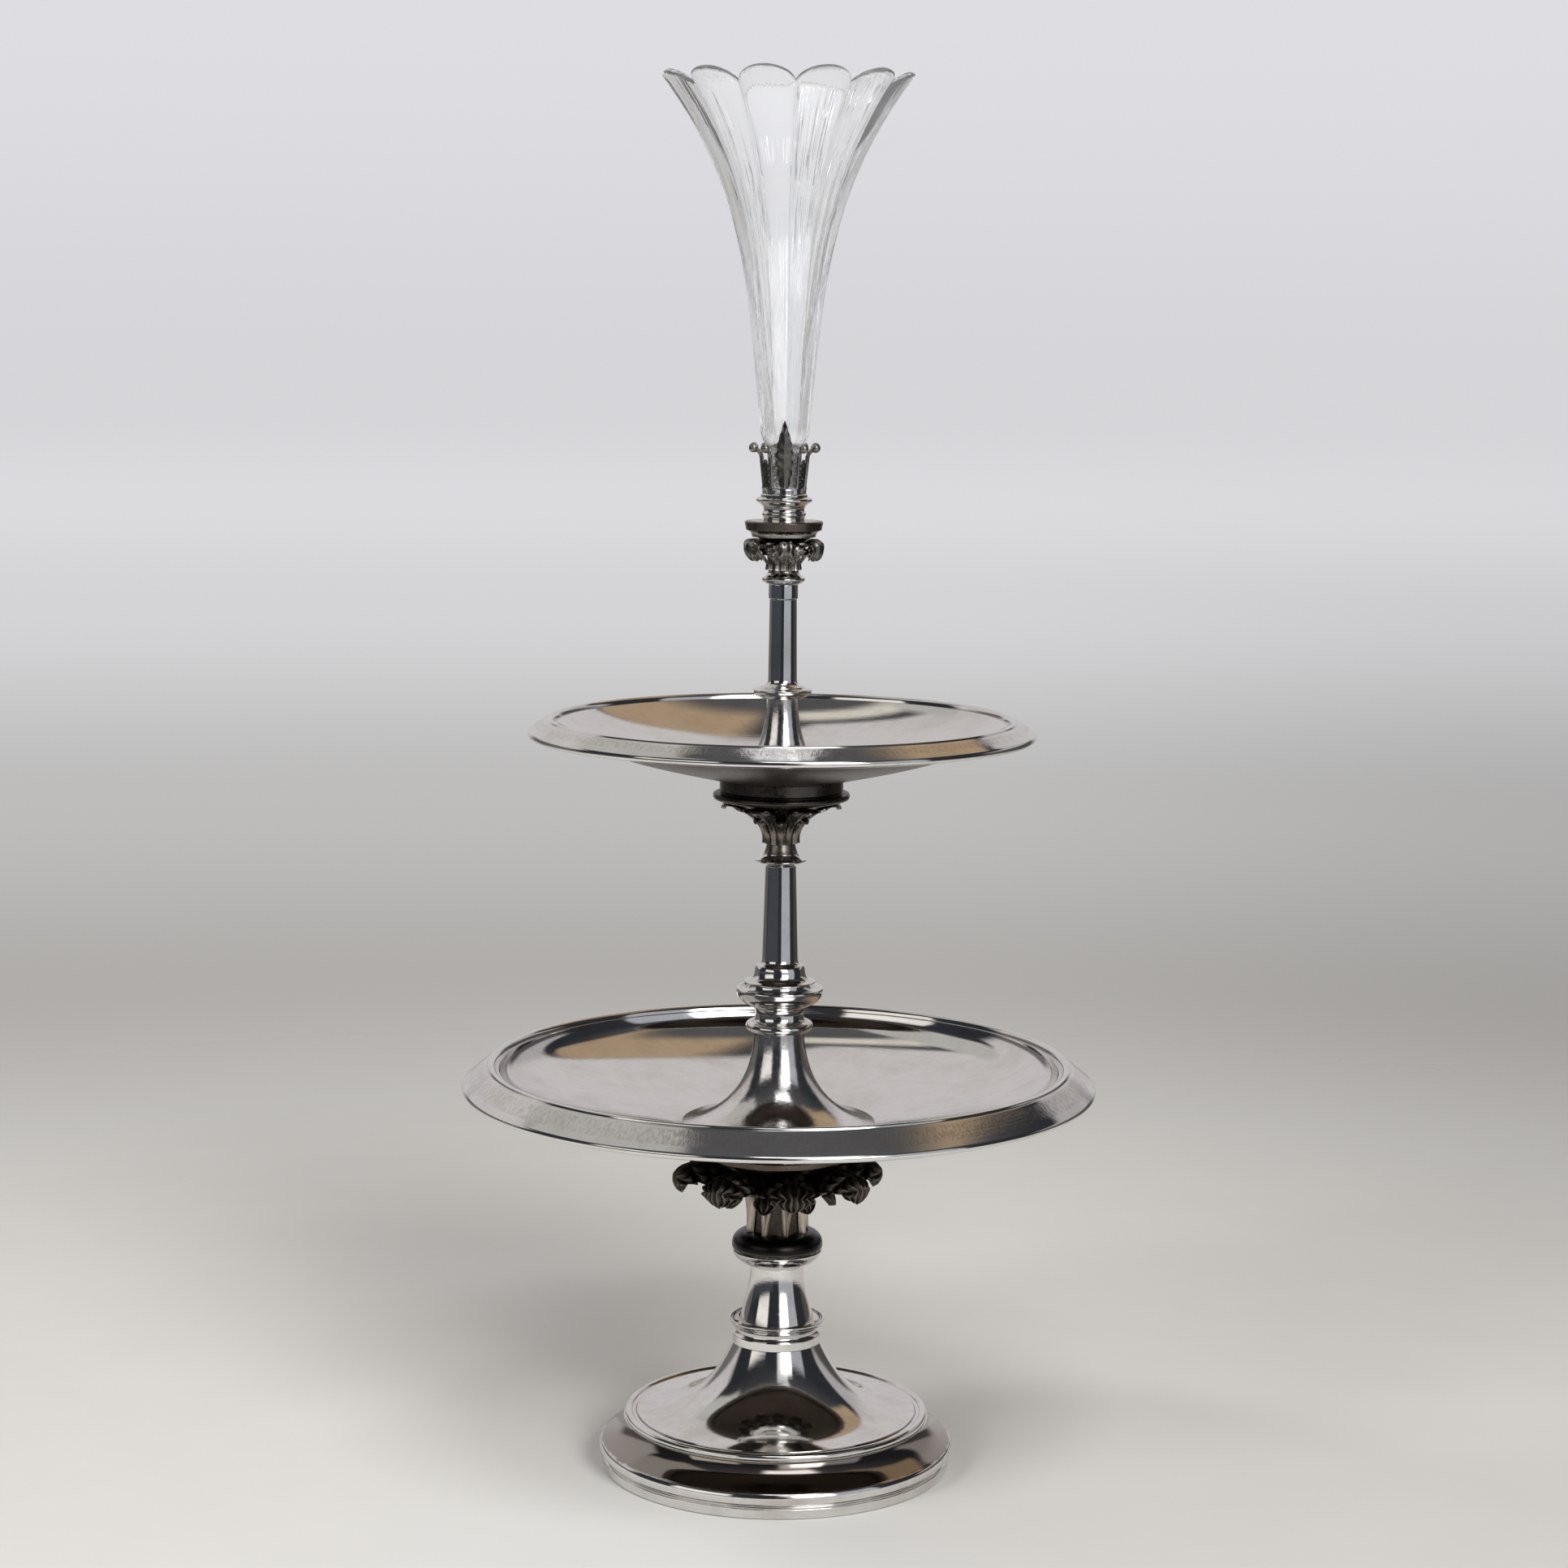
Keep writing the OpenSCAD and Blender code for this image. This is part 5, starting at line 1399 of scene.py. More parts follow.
@dataclass
class UpperColumn(Column):
    """Cone, ring, shaft and astragal above the upper dish."""

    body = Body.UPPER_COLUMN
    cone_z: float = 295.4
    cone_foot_r: float = 15.5
    cone_top_r: float = 6.4
    cone_h: float = 31.6
    bush_r: float = 5.15
    ring_z: float = 327.0
    ring_r: float = 12.1
    ring_h: float = 5.0
    shaft_z: float = 332.0
    shaft_foot_r: float = 6.0
    shaft_top_r: float = 5.65
    shaft_h: float = 42.2
    tube_t: float = 1.5
    band_l: float = 5.6
    astragal_z: float = 374.2
    astragal_r: float = 8.9
    astragal_h: float = 5.0
    bore_r: float = 2.75

    def build(self) -> None:
        """Models and dresses the pieces from the dish up."""
        self.cone()
        self.ring()
        self.shaft()
        self.astragal()

    def cone(self) -> None:
        """Spins the small trumpet cone."""
        foot, top, h = self.cone_foot_r, self.cone_top_r, self.cone_h
        curve = cubic((foot, 0.7), (top + 0.45 * (foot - top), 0.25 * h), (top + 0.1, 0.62 * h),
                      (top, h), 36)
        self.lathe("cone_upper", CONE_SILVER, "upper_cone", self.cone_z, self.hollow(curve))

    def ring(self) -> None:
        """Turns the saucer ring."""
        r, h, foot, shaft = self.ring_r, self.ring_h, self.cone_top_r, self.shaft_foot_r
        line = [(self.bore_r, 0), (foot, 0)]
        line += cubic((foot + 0.6, 0.1), (r - 2.4, 0.1 * h), (r - 0.4, 0.26 * h), (r, 0.54 * h), 14)
        line += [(r, 0.72 * h)]
        line += cubic((r - 0.5, 0.82 * h), (shaft + 4, 0.74 * h), (shaft + 3.4, 0.84 * h),
                      (shaft + 2.9, h), 10)
        self.lathe("ring_upper", SILVER, "upper_ring", self.ring_z, line + [(self.bore_r, h)])

    def shaft(self) -> None:
        """Turns the shaft with its neck band."""
        foot, top, h = self.shaft_foot_r, self.shaft_top_r, self.shaft_h
        tube, band, start = top - self.tube_t, top + 0.45, (foot, 3.4)
        line = [(tube, 0)] + cubic((foot + 2.7, 0), (foot + 1, 0.5), (foot, 1.2), start, 10)
        line += self.taper(start, (top, h - self.band_l - 0.4))
        line += [(band, h - self.band_l), (band, h), (tube, h)]
        self.lathe("shaft_upper", SILVER, "upper_shaft", self.shaft_z, line)

    def astragal(self) -> None:
        """Turns the ring on the shaft."""
        r, h, foot = self.astragal_r, self.astragal_h, self.shaft_top_r
        neck = foot + 0.75
        line = [(self.bore_r, 0), (foot + 0.5, 0)]
        line += cubic((foot + 0.8, 0.2), (foot + 2, 0.12 * h), (r - 0.4, 0.24 * h),
                      (r, 0.4 * h), 10)
        line += [(r, 0.54 * h)]
        line += cubic((r - 0.3, 0.6 * h), (neck + 1.2, 0.66 * h), (neck + 0.6, 0.8 * h),
                      (neck + 0.2, h), 10)
        self.lathe("astragal_upper", SILVER, "upper_astragal", self.astragal_z,
                   line + [(self.bore_r, h)])


@dataclass
class TopCapital(Capital):
    """Curled leaves and small abacus under the crown."""

    body = Body.UPPER_COLUMN
    z: float = 379.2
    h: float = 14.6
    neck_r: float = 6.4
    top_r: float = 11.34
    waist: tuple[Point, Point] = ((1.4, 0.3), (1.0, 0.8))
    reach: float = 17.6
    half_w: float = 6.1
    abacus_r: float = 16.2
    abacus_h: float = 6.6
    bore_r: float = 2.75
    count: int = 6
    turned: float = 4.0

    def build(self) -> None:
        """Models and dresses the core, the leaves and the abacus."""
        stem = self.core("top_core", CAST_GREY, "top_capital")[2:19:2]
        big = Leaf(self.blade(stem), stalk_w=2.3, blade_w=self.half_w, lobes=4, keel_t=1.1,
                   vein=0.4, rows=44, cols=33, start=0.12, fold=1.6, ribs=3, rib_h=0.35)
        small = Leaf(self.bud(stem[:4]), stalk_w=1.4, blade_w=3.5, lobes=3, keel_t=1.0, vein=0.3,
                     rows=36, cols=17, start=0.15, fold=0.6, bite=0.15)
        self.leaves("top_leaves", CAST_GREY, "top_capital_leaves", big, small)
        self.abacus()

    def blade(self, stem: Outline) -> Outline:
        """Spine of a big leaf, which curls outwards and back under itself."""
        (r, z), out, h = stem[-1], self.reach, self.h
        return self.spine(
            stem, ((r + 0.7, z + 0.22 * h), (out - 3, 1.05 * h), (out - 0.4, 0.84 * h), 10),
            ((out + 0.9, 0.5 * h), (out - 3.4, 0.22 * h), (out - 5.2, 0.44 * h), 12))

    def bud(self, stem: Outline) -> Outline:
        """Spine of a small leaf, with a shorter curl."""
        r, out, h = stem[-1][0], self.reach, self.h
        return self.spine(
            stem, ((r + 1.6, 0.42 * h), (out - 7.5, 0.66 * h), (out - 3.8, 0.74 * h), 10),
            ((out - 2.6, 0.62 * h), (out - 4.4, 0.42 * h), (out - 5.6, 0.56 * h), 8))

    def abacus(self) -> None:
        """Turns the small abacus."""
        r, h = self.abacus_r, self.abacus_h
        tier_z, tier_r = 0.42 * h, r - 3.1
        line = [(self.bore_r, 0), (self.top_r + 0.4, 0), (tier_r, 0.1)]
        line += cubic((tier_r + 0.1, 0.2), (tier_r + 0.2, 0.7 * tier_z), (tier_r + 1, 0.9 * tier_z),
                      (r - 1, tier_z), 10)
        line += [(r - 0.6, tier_z + 0.2), (r, h - 0.5), (r - 0.5, h), (self.bore_r, h)]
        self.lathe("abacus_top", TOP_BROWN, "top_abacus", self.z + self.h, line)


@dataclass
class CrownSocket(Assembly):
    """Socket cup, pierced band, ball-ended stalks and the two tall leaves round the glass."""

    body = Body.UPPER_COLUMN
    z: float = 400.4
    socket_r: float = 7.6
    socket_h: float = 10.0
    flange_r: float = 11.6
    floor_t: float = 1.8
    bore_r: float = 2.75
    crown_z: float = 414.0
    in_r: float = 7.7
    stalk_r: float = 0.85
    stalk_h: float = 12.4
    lean: float = 6.0
    bend_r: float = 4.0
    bend_angle: float = 75.0
    ball_r: float = 1.95
    stalk_foot: float = 1.2
    leaf_h: float = 27.6
    pale_h: float = 11.2
    pale_t: float = 0.9
    pale_holes: int = 4
    off: float = 0.3
    count: int = 10

    def build(self) -> None:
        """Models and dresses the cup, the stalks and the leaves; the band keeps its solid."""
        self.cup()
        self.fit(self.stalks(), CAST_GREY, "crown_prongs")
        self.leaves()
        Bench.keep("crown_band", SILVER)

    def at(self, r: float, z: float, angle: float = 0.0) -> tuple[float, float, float]:
        """A place of the crown in metres, from radius, height above its foot and angle."""
        return r * math.cos(angle) * MM, r * math.sin(angle) * MM, (z + self.crown_z) * MM

    def cup(self) -> None:
        """Turns the socket cup with its flange."""
        h, wall, flange = self.socket_h, self.socket_r + 0.8, self.flange_r
        line = [(self.bore_r, 0), (wall + 0.2, 0), (wall, 0.12 * h)]
        line += arc(wall - 0.3, 0.28 * h, 1, -50, 50, 10)
        line += [(wall, 0.42 * h)]
        line += cubic((wall, 0.5 * h), (wall + 0.3, 0.66 * h), (flange - 1, 0.74 * h),
                      (flange, 0.82 * h), 12)
        line += [(flange, 0.9 * h), (flange - 0.8, 0.96 * h), (wall + 1, h)]
        line += [(self.socket_r, h), (self.socket_r, self.floor_t), (self.bore_r, self.floor_t)]
        self.lathe("socket_turned", SILVER, "socket_cup", self.z, line)

    def stalk(self) -> Piece:
        """Sweeps one stalk along its bend and sets the ball on its end.

        Returns:
            The stalk, facing +X.
        """
        ring, lean = self.in_r + self.stalk_r, math.radians(self.lean)
        top = (ring + self.stalk_h * math.sin(lean), self.stalk_h * math.cos(lean))
        path = [(ring, 0.0), (ring + 0.5 * (top[0] - ring), 0.5 * top[1])]
        path += arc(top[0] + self.bend_r * math.cos(lean), top[1] - self.bend_r * math.sin(lean),
                    self.bend_r, 180 - self.lean, 180 - self.bend_angle, 10)
        Bench.clear()
        bpy.ops.mesh.primitive_circle_add(vertices=16, radius=self.stalk_r * MM, fill_type="NGON",
                                          location=self.at(*path[0]))
        pieces = [bpy.context.object]
        Bench.only(pieces[0], edit=True)
        before = 0.0
        for a, b in zip(path, path[1:]):
            Bench.extrude(a, b)
            tilt = math.atan2(b[0] - a[0], b[1] - a[1])
            bpy.ops.transform.rotate(value=-(tilt - before), orient_axis="Y",
                                     center_override=self.at(*b))
            before = tilt
        Bench.close(merge=False)
        sunk = 0.3 * self.ball_r
        bpy.ops.mesh.primitive_uv_sphere_add(
            segments=24, ring_count=14, radius=self.ball_r * MM,
            location=self.at(path[-1][0] + sunk, path[-1][1] + sunk))
        pieces.append(bpy.context.object)
        bpy.ops.mesh.primitive_cylinder_add(
            vertices=24, radius=self.stalk_foot * self.stalk_r * MM, depth=0.8 * MM,
            location=self.at(ring, 0.4))
        pieces.append(bpy.context.object)
        for piece in pieces:
            Bench.settle(piece, Leaf.CREASE)
        return Bench.join("stalk", pieces)

    def pale(self) -> Piece:
        """Cuts one pierced pale of the gallery from a strip.

        Returns:
            The pale, facing +X.
        """
        ring, lean = self.in_r + self.stalk_r, math.tan(math.radians(self.lean))
        half = math.pi / self.count
        half -= math.asin((self.stalk_foot * self.stalk_r + self.off) / ring)
        Bench.clear()
        bpy.ops.mesh.primitive_cube_add(size=2.0)
        pale = bpy.context.object
        Bench.only(pale, edit=True)
        bpy.ops.mesh.subdivide(number_cuts=9)
        Bench.clear()
        for v in pale.data.vertices:
            z = (v.co.z + 1) / 2 * self.pale_h
            v.co = self.at(ring + z * lean + v.co.x * self.pale_t / 2, z, v.co.y * half)
        pitch = self.pale_h / (self.pale_holes + 0.5)
        cuts = [(0.28, 0.0, k + 0.75) for k in range(self.pale_holes)]
        for side in (-1, 1):
            cuts += [(0.24, side, k + 1.25) for k in range(self.pale_holes - 1)]
            cuts += [(0.55, side, (self.pale_h + 0.1) / pitch)]
        for size, side, level in cuts:
            a = side * (half + math.radians(1))
            bpy.ops.mesh.primitive_cylinder_add(
                vertices=24, radius=size * pitch * MM, depth=6 * MM, rotation=(0, math.pi / 2, a),
                location=self.at(ring + 0.5, level * pitch, a))
            cutter = bpy.context.object
            Bench.apply(pale, "BOOLEAN", operation="DIFFERENCE", object=cutter, solver="EXACT")
            bpy.data.objects.remove(cutter)
            Bench.clear()
        Bench.bevel(pale, 0.1, Leaf.CREASE)
        Bench.settle(pale, Bench.CREASE)
        return pale

    def stalks(self) -> Piece:
        """Copies the stalk and the pale round the crown, apart from the places of the two leaves.

        Returns:
            The gallery.
        """
        half = self.count // 2
        kept: list[Piece] = []
        rings = (self.stalk, 0.0, (0,)), (self.pale, 180 / self.count, (0, half - 1))
        for make, start, gone in rings:
            for i, piece in enumerate(Bench.ring_of(make(), self.count, start)):
                if i % half in gone:
                    bpy.data.objects.remove(piece)
                else:
                    kept.append(piece)
        return Bench.join("crown_stalks", kept)

    def leaves(self) -> None:
        """Models and dresses the tall pointed leaves at front and back."""
        foot, h = self.in_r + 0.15, self.leaf_h
        spine = cubic((foot, 0), (foot + 0.4, 0.4 * h), (foot + 4, 0.62 * h), (foot + 3.4, h), 24)
        leaf = PointedLeaf(lifted(spine, self.crown_z), stalk_w=1.9, blade_w=4.1, lobes=7,
                           keel_t=1.1, vein=0.35, rows=44, cols=17, start=0.0, edge_t=0.5)
        pair = Bench.ring_of(leaf.model("tall_leaf"), 2, 0.0)
        self.fit(Bench.join("crown_tall_leaves", pair), CAST_GREY, "crown_leaves")


@dataclass
class GlassTrumpet:
    """Fluted glass with a scalloped mouth on a round peg."""

    peg_z: float = 404.8
    peg_r: float = 7.05
    shoulder_z: float = 427.9
    shoulder_h: float = 9.5
    throat_r: float = 10.2
    mouth_r: float = 52.0
    h: float = 143.0
    throat_t: float = 4.2
    rim_t: float = 2.2
    petals: int = 12
    petal_h: float = 5.5
    turned: float = 4.0
    rim_slope: float = 0.8
    floor_t: float = 6.0
    cols: int = 24
    rows: int = 84

    CREASE = 60.0

    def build(self) -> None:
        """Models and dresses the vase."""
        Bench.fit(self.vase(), Body.VASE, GLASS, "glass_vase")

    def radius(self, u: float) -> float:
        """Outer radius at share u of the fluted height."""
        return self.throat_r + (self.mouth_r - self.throat_r) * (0.31 * u + 0.69 * u ** 4)

    def height(self, u: float) -> float:
        """Height at share u, without the petals."""
        return self.shoulder_z + self.shoulder_h + u * (self.h - self.petal_h)

    def wall(self, u: float) -> float:
        """Wall at share u."""
        return self.throat_t + (self.rim_t - self.throat_t) * u ** 0.7

    def flute(self, u: float) -> float:
        """Depth of the flutes at share u, as a share of the radius."""
        return 0.05 + 0.1 * u ** 1.5

    @staticmethod
    def petal(share: float) -> float:
        """Arc of a petal: one on its crown, nought in the notch."""
        s = 2 * share - 1
        return math.sqrt(1 - 0.94 * s * s) - math.sqrt(0.06) * s * s

    def rings(self) -> list[tuple[float, float, float, float]]:
        """Rings of the skin: radius, height, flute share and petal rise.

        Returns:
            The rings from the peg's foot up the outside, over the rim and down the inside.
        """
        peg, foot = self.peg_r, self.peg_z
        plain = [(0.0, foot), (peg - 0.6, foot), (peg - 0.1, foot + 0.4), (peg, foot + 0.8)]
        out = [(r, z, 0.0, 0.0) for r, z in plain + [(peg, self.shoulder_z)]]
        for i in range(1, 10):
            t = i / 10
            out.append((peg + (self.throat_r - peg) * t * t * (3 - 2 * t),
                        self.shoulder_z + t * self.shoulder_h, 0.05 * t, 0.0))
        shares = [i / self.rows for i in range(self.rows + 1)]
        for u in shares:
            out.append((self.radius(u), self.height(u), self.flute(u), self.petal_h * u ** 6))
        for k in (0.3, 0.7):
            out.append((self.mouth_r - k * self.rim_t, self.height(1) + self.rim_slope * k + 0.35,
                        self.flute(1) * (1 - 0.2 * k), self.petal_h))
        for u in shares[::-1]:
            out.append((self.radius(u) - self.wall(u), self.height(u) + self.rim_slope * u,
                        0.8 * self.flute(u) * u, self.petal_h * u ** 6))
        bottom, inner = self.shoulder_z + self.floor_t * 0.5, self.throat_r - self.throat_t
        for share, z in ((0.92, 2.4), (0.8, 0.8), (0.45, 0.1), (0.0, 0.0)):
            out.append((share * inner, bottom + z, 0.0, 0.0))
        return out

    def vase(self) -> Piece:
        """Shapes a grid into the vase and closes its seam and poles.

        Returns:
            The vase.
        """
        rings, around = self.rings(), self.petals * self.cols
        turn = math.radians(-90 + self.turned)

        def place(along_share: float, across: float) -> tuple[float, float, float]:
            """A point of the skin.

            Args:
                along_share: Share along the skin, from the peg to the inner floor.
                across: Share of the turn round the axis.

            Returns:
                The point.
            """
            r, z, flute, rise = rings[round(along_share * (len(rings) - 1))]
            j = round(across * around)
            p = self.petal((j % self.cols) / self.cols)
            a = turn + 2 * math.pi * j / around
            rr = r * (1 - flute * (1 - p))
            return rr * math.cos(a), rr * math.sin(a), z + rise * p

        vase = Bench.sheet("trumpet", len(rings), around + 1, place)
        Bench.only(vase, edit=True)
        Bench.close()
        Bench.settle(vase, self.CREASE)
        return vase


@dataclass
class Fixings:
    """Rods, nuts, bushes and the clamp plate, whose solids stay."""

    brass: tuple[str, ...] = (
        "base_nut", "lower_nut", "lower_bush", "middle_nut", "upper_bush", "top_nut")
    steel: tuple[str, ...] = ("base_clamp_plate", "base_rod", "middle_rod", "top_rod")

    def build(self) -> None:
        """Dresses the solids."""
        for name in self.brass + self.steel:
            Bench.keep(name, BRASS if name in self.brass else STEEL)


# Studio


@dataclass
class Studio:
    """Pale floor that fades into the backdrop, soft lamps, dim room and the camera."""

    lens: float = 78.17
    eye: tuple[float, float, float] = (0.00103, -1.402, 0.480)
    pitch: float = 7.67
    roll: float = 0.54
    floor_r: float = 2.2
    floor_z: float = -0.0002
    floor_colour: Colour = (0.555, 0.545, 0.525)
    aim_z: float = 0.2

    def build(self) -> None:
        """Sets up the studio."""
        scene = bpy.context.scene
        scene.view_settings.view_transform = "Standard"
        self.camera(scene)
        self.world(scene)
        self.floor()
        self.lamps()

    def camera(self, scene: bpy.types.Scene) -> None:
        """Places the camera at the photograph's viewing angle.

        Args:
            scene: The scene.
        """
        Bench.clear()
        bpy.ops.object.camera_add(location=self.eye, rotation=(math.radians(90 - self.pitch), 0, 0))
        cam = bpy.context.object
        cam.data.lens = self.lens
        cam.data.sensor_width = 36.0
        cam.data.clip_end = 50.0
        cam.rotation_euler.rotate_axis("Z", math.radians(self.roll))
        scene.camera = cam

    def world(self, scene: bpy.types.Scene) -> None:
        """Paints the backdrop for the camera and the dim room for reflections.

        Args:
            scene: The scene.
        """
        world = bpy.data.worlds.new("studio")
        scene.world = world
        world.use_nodes = True
        n = Nodes(world.node_tree)
        way = n.add("ShaderNodeTexCoord").outputs["Generated"]
        x, y, z = n.add("ShaderNodeSeparateXYZ", {0: way}).outputs
        sweep = self.backdrop(n, z)
        shade = n.times(n.step(x, 0.02, 0.24), n.step(z, -0.02, -0.13))
        sweep = n.mix(n.times(shade, 0.16), sweep, (0.0, 0.0, 0.0))
        room = self.room(n, x, y, z, sweep)
        path = n.add("ShaderNodeLightPath")
        through = n.math("GREATER_THAN", path.outputs["Transmission Depth"], 0.5)
        direct = n.math("MAXIMUM", path.outputs["Is Camera Ray"], through)
        colour = n.mix(direct, room, sweep)
        back = n.add("ShaderNodeBackground", {"Color": colour, "Strength": 1.0})
        n.add("ShaderNodeOutputWorld", {0: back.outputs[0]})

    @staticmethod
    def backdrop(n: Nodes, z: Socket) -> Socket:
        """Pale sweep behind the object, by the height of the view.

        Args:
            n: The node tree.
            z: Height of the direction.

        Returns:
            Its colour.
        """
        stops = ((-0.40, (0.60, 0.59, 0.57)), (-0.27, (0.58, 0.57, 0.55)),
                 (-0.193, (0.43, 0.415, 0.40)), (-0.137, (0.51, 0.505, 0.50)),
                 (-0.08, (0.66, 0.655, 0.67)), (-0.052, (0.71, 0.705, 0.73)),
                 (-0.023, (0.67, 0.665, 0.69)), (0.09, (0.73, 0.725, 0.76)),
                 (0.5, (0.76, 0.755, 0.78)))
        low, high = stops[0][0], stops[-1][0]
        inputs = {"Value": z, "From Min": low, "From Max": high}
        ramp = n.add("ShaderNodeValToRGB", {0: n.add("ShaderNodeMapRange", inputs).outputs[0]})
        ramp.color_ramp.interpolation = "EASE"
        points = ramp.color_ramp.elements
        while len(points) < len(stops):
            points.new(1.0)
        for point, (at, colour) in zip(points, stops):
            point.position = (at - low) / (high - low)
            point.color = (*colour, 1.0)
        return ramp.outputs[0]

    @staticmethod
    def room(n: Nodes, x: Socket, y: Socket, z: Socket, sweep: Socket) -> Socket:
        """What the metal sees round it: pale sweep behind, dim room in front, pale panels.

        Args:
            n: The node tree.
            x: Sideways part of the direction.
            y: Part of the direction away from the camera.
            z: Height of the direction.
            sweep: Colour of the backdrop.

        Returns:
            The room's colour.
        """
        dim = (0.05, 0.045, 0.043)

        def patch(value: Socket, low: float, high: float, soft: float = 0.06) -> Socket:
            """One between two values with soft ends, nought outside."""
            rise = n.step(value, low - soft / 2, low + soft / 2)
            return n.times(rise, n.step(value, high + soft / 2, high - soft / 2))

        def lay(tone: Colour | Socket, *masks: Socket) -> None:
            """Lays a tone over the room where all masks meet."""
            nonlocal colour
            colour = n.mix(n.times(*masks), colour, tone)

        azimuth = n.math("ARCTAN2", x, n.times(y, -1.0))
        # Dim room and ceiling
        colour = n.mix(n.step(z, 0.5, 0.98), (0.028, 0.03, 0.036), (0.10, 0.10, 0.105))
        # Paper sweep, higher on the left, darker low down at both sides
        left = n.step(x, 0.03, -0.06)
        top_edge = n.plus(z, n.math("POWER", x, 2.0), 0.36)
        sweep_top = n.math("SUBTRACT", top_edge, n.times(left, 0.14))
        paper = n.mix(1.0, sweep, (0.84, 0.81, 0.785), "MULTIPLY")
        low = n.step(z, 0.24, 0.14)
        far_left = n.times(low, n.step(x, -0.36, -0.56, (0.0, 0.8)))
        paper = n.mix(far_left, paper, (0.05, 0.047, 0.045))
        far_right = n.times(low, n.step(x, 0.32, 0.52, (0.0, 0.9)))
        paper = n.mix(far_right, paper, dim)
        paper = n.mix(n.step(x, 0.3, 0.55, (0.0, 0.3)), paper, dim)
        lay(paper, n.step(y, 0.16, 0.34), n.step(sweep_top, 0.63, 0.58))
        # Tan wall above the sweep on the right
        right_wall = n.times(n.step(x, 0.02, 0.07), n.step(x, 0.62, 0.52), n.step(y, -0.15, 0.05),
                             n.step(z, 0.56, 0.60), n.step(z, 0.93, 0.80))
        lay((0.44, 0.325, 0.215), right_wall, n.step(top_edge, 0.58, 0.62))
        # Pale panels high on the left
        lay((0.74, 0.70, 0.62), patch(x, -0.5, -0.02), n.step(y, 0.1, 0.25), patch(z, 0.79, 0.88))
        lay((0.52, 0.51, 0.49), patch(x, -0.72, -0.31), n.step(y, -0.15, 0.0), patch(z, 0.6, 0.97))
        # Grey wall and dark low wall to the right and left of the camera
        lay((0.44, 0.46, 0.50), patch(azimuth, 0.14, 1.2), patch(z, -0.4, 0.55, 0.12))
        lay((0.06, 0.065, 0.078), patch(azimuth, -1.7, -0.25), patch(z, -0.4, 0.06, 0.1))
        # Window on the left, then the fading panel, the panel overhead and the softbox on the right
        lay((1.0, 0.97, 0.92), patch(azimuth, -1.2, -0.5), patch(z, 0.1, 0.48, 0.1))
        lay((0.9, 0.9, 0.9), patch(azimuth, 0.06, 0.5, 0.1), n.step(z, 0.86, 0.6),
            n.step(z, 0.3, 0.5))
        lay((2.6, 2.6, 2.6), patch(x, -0.1, 0.36, 0.1), patch(y, -0.62, -0.3, 0.12),
            n.step(z, 0.7, 0.8))
        lay((5.0, 5.0, 5.0), patch(azimuth, 0.22, 0.66, 0.1), patch(z, 0.14, 0.6, 0.16))
        return colour

    def floor(self) -> None:
        """Lays the floor; its far part fades into the backdrop."""
        Bench.clear()
        bpy.ops.mesh.primitive_circle_add(vertices=96, radius=self.floor_r, fill_type="NGON",
                                          location=(0, 0, self.floor_z))
        floor = bpy.context.object
        floor.name = "floor"
        Bench.bake(floor)
        material = bpy.data.materials.new("floor_paper")
        material.use_nodes = True
        n = Nodes(material.node_tree)
        place = n.add("ShaderNodeTexCoord").outputs["Object"]
        away = n.add("ShaderNodeVectorMath", {0: place}, operation="LENGTH").outputs["Value"]
        grain = n.noise(place, 14.0, 4.0, 0.55)
        darker = tuple(0.95 * c for c in self.floor_colour)
        pale = n.mix(n.step(grain, 0.3, 0.7, (0.0, 0.35)), self.floor_colour, darker)
        sideways = n.add("ShaderNodeSeparateXYZ", {0: place}).outputs[0]
        # Darker towards +X, by up to a tenth: painted shade of light falling off to the right.
        pale = n.mix(n.step(sideways, 0.05, 0.45, (0.0, 0.10)), pale, (0.0, 0.0, 0.0))
        paper = n.add("ShaderNodeBsdfDiffuse", {"Color": pale})
        gone = n.add("ShaderNodeBsdfTransparent")
        fade = n.step(away, 0.45, 1.25)
        shader = n.add("ShaderNodeMixShader", {0: fade, 1: paper.outputs[0], 2: gone.outputs[0]})
        n.add("ShaderNodeOutputMaterial", {0: shader.outputs[0]})
        floor.data.materials.append(material)

    def lamps(self) -> None:
        """Hangs soft lamps beside the camera and overhead; the metal mirrors none of them."""
        rows = (
            ("lamp_right", (0.89, -1.68, 1.10), 0.8, 0.8, 33.0, (1.0, 0.99, 0.97)),
            ("lamp_left", (-1.30, -1.30, 1.30), 0.6, 0.6, 14.0, (0.97, 0.98, 1.0)),
            ("lamp_top", (0.20, -0.68, 1.62), 0.62, 0.22, 8.0, (1.0, 1.0, 1.0)),
            ("lamp_side", (-1.10, 0.35, 1.55), 0.35, 0.5, 7.0, (1.0, 0.99, 0.97)),
        )
        for name, place, wide, deep, power, colour in rows:
            Bench.clear()
            bpy.ops.object.light_add(type="AREA", location=place)
            lamp = bpy.context.object
            lamp.name = name
            lamp.data.shape = "RECTANGLE"
            lamp.data.size = wide
            lamp.data.size_y = deep
            lamp.data.energy = power
            lamp.data.color = colour
            lamp.visible_glossy = False
            aim = -lamp.location.copy()
            aim.z += self.aim_z
            lamp.rotation_mode = "QUATERNION"
            lamp.rotation_quaternion = aim.to_track_quat("-Z", "Y")


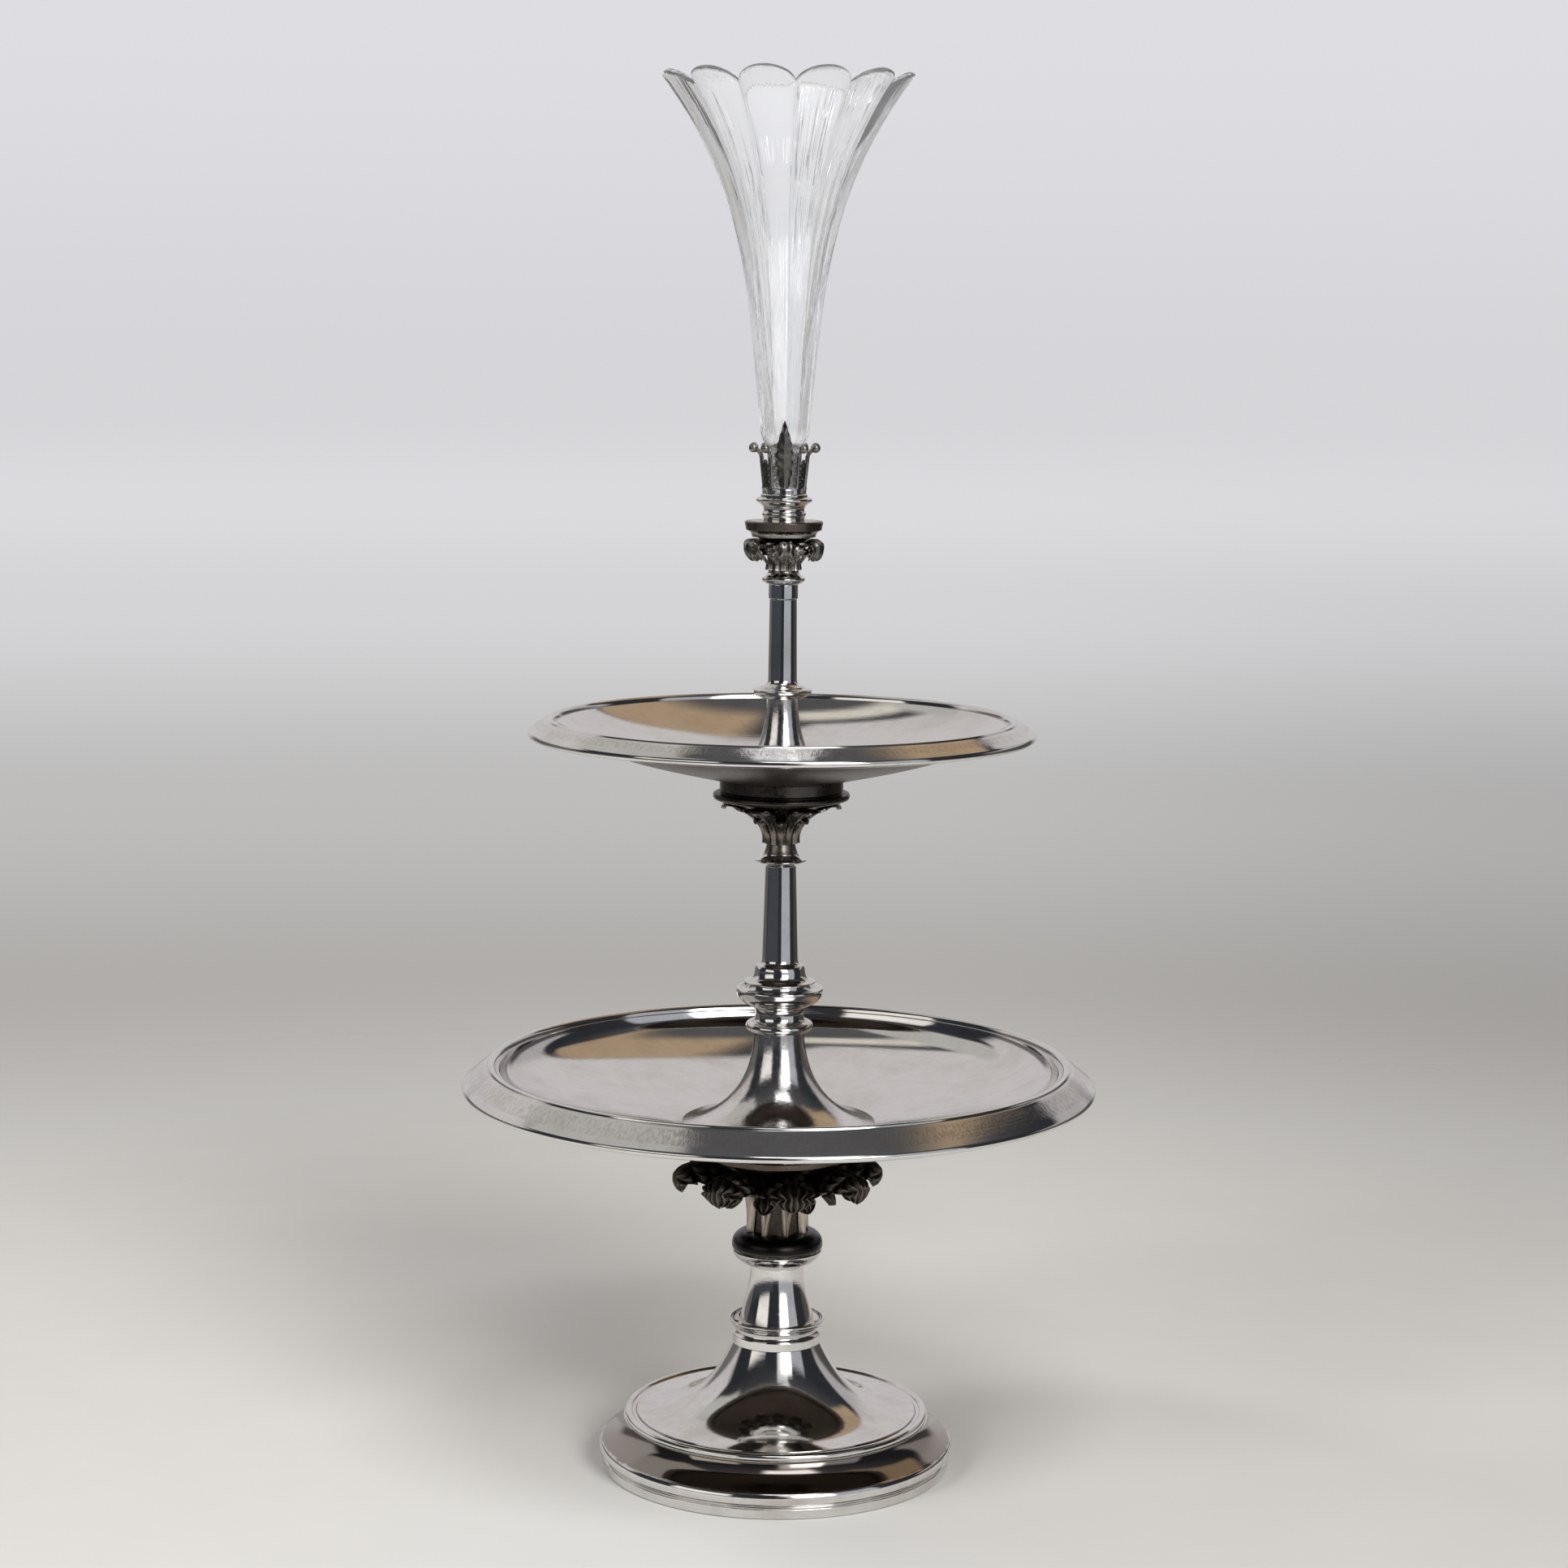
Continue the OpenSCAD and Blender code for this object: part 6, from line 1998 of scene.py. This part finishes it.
def main() -> None:
    """Builds the epergne from the floor up, then the studio round it."""
    logging.basicConfig(level=logging.INFO, format="%(name)s: %(message)s")
    lower_dish = Saucer(
        "dish_lower", "lower_dish", Body.LOWER_DISH, z=146.0, hole_r=4.25, flat_r=43.0,
        crest_r=120.7, border_w=12.0, drop=9.8, h=28.0, finish=LOWER_DISH_SILVER)
    upper_dish = Saucer(
        "dish_upper", "upper_dish", Body.UPPER_DISH, z=294.0, hole_r=3.25, flat_r=29.0,
        crest_r=96.2, border_w=9.0, drop=6.0, h=25.0, finish=UPPER_DISH_SILVER,
        wall=(0.3, 0.2, 0.47))
    for assembly in (
            Foot(), LowerCapital(), lower_dish, LowerColumn(), MiddleCapital(), upper_dish,
            UpperColumn(), TopCapital(), CrownSocket(), GlassTrumpet(), Fixings(), Studio()):
        assembly.build()
        LOG.info("built %s", type(assembly).__name__)


if __name__ == "__main__":
    main()
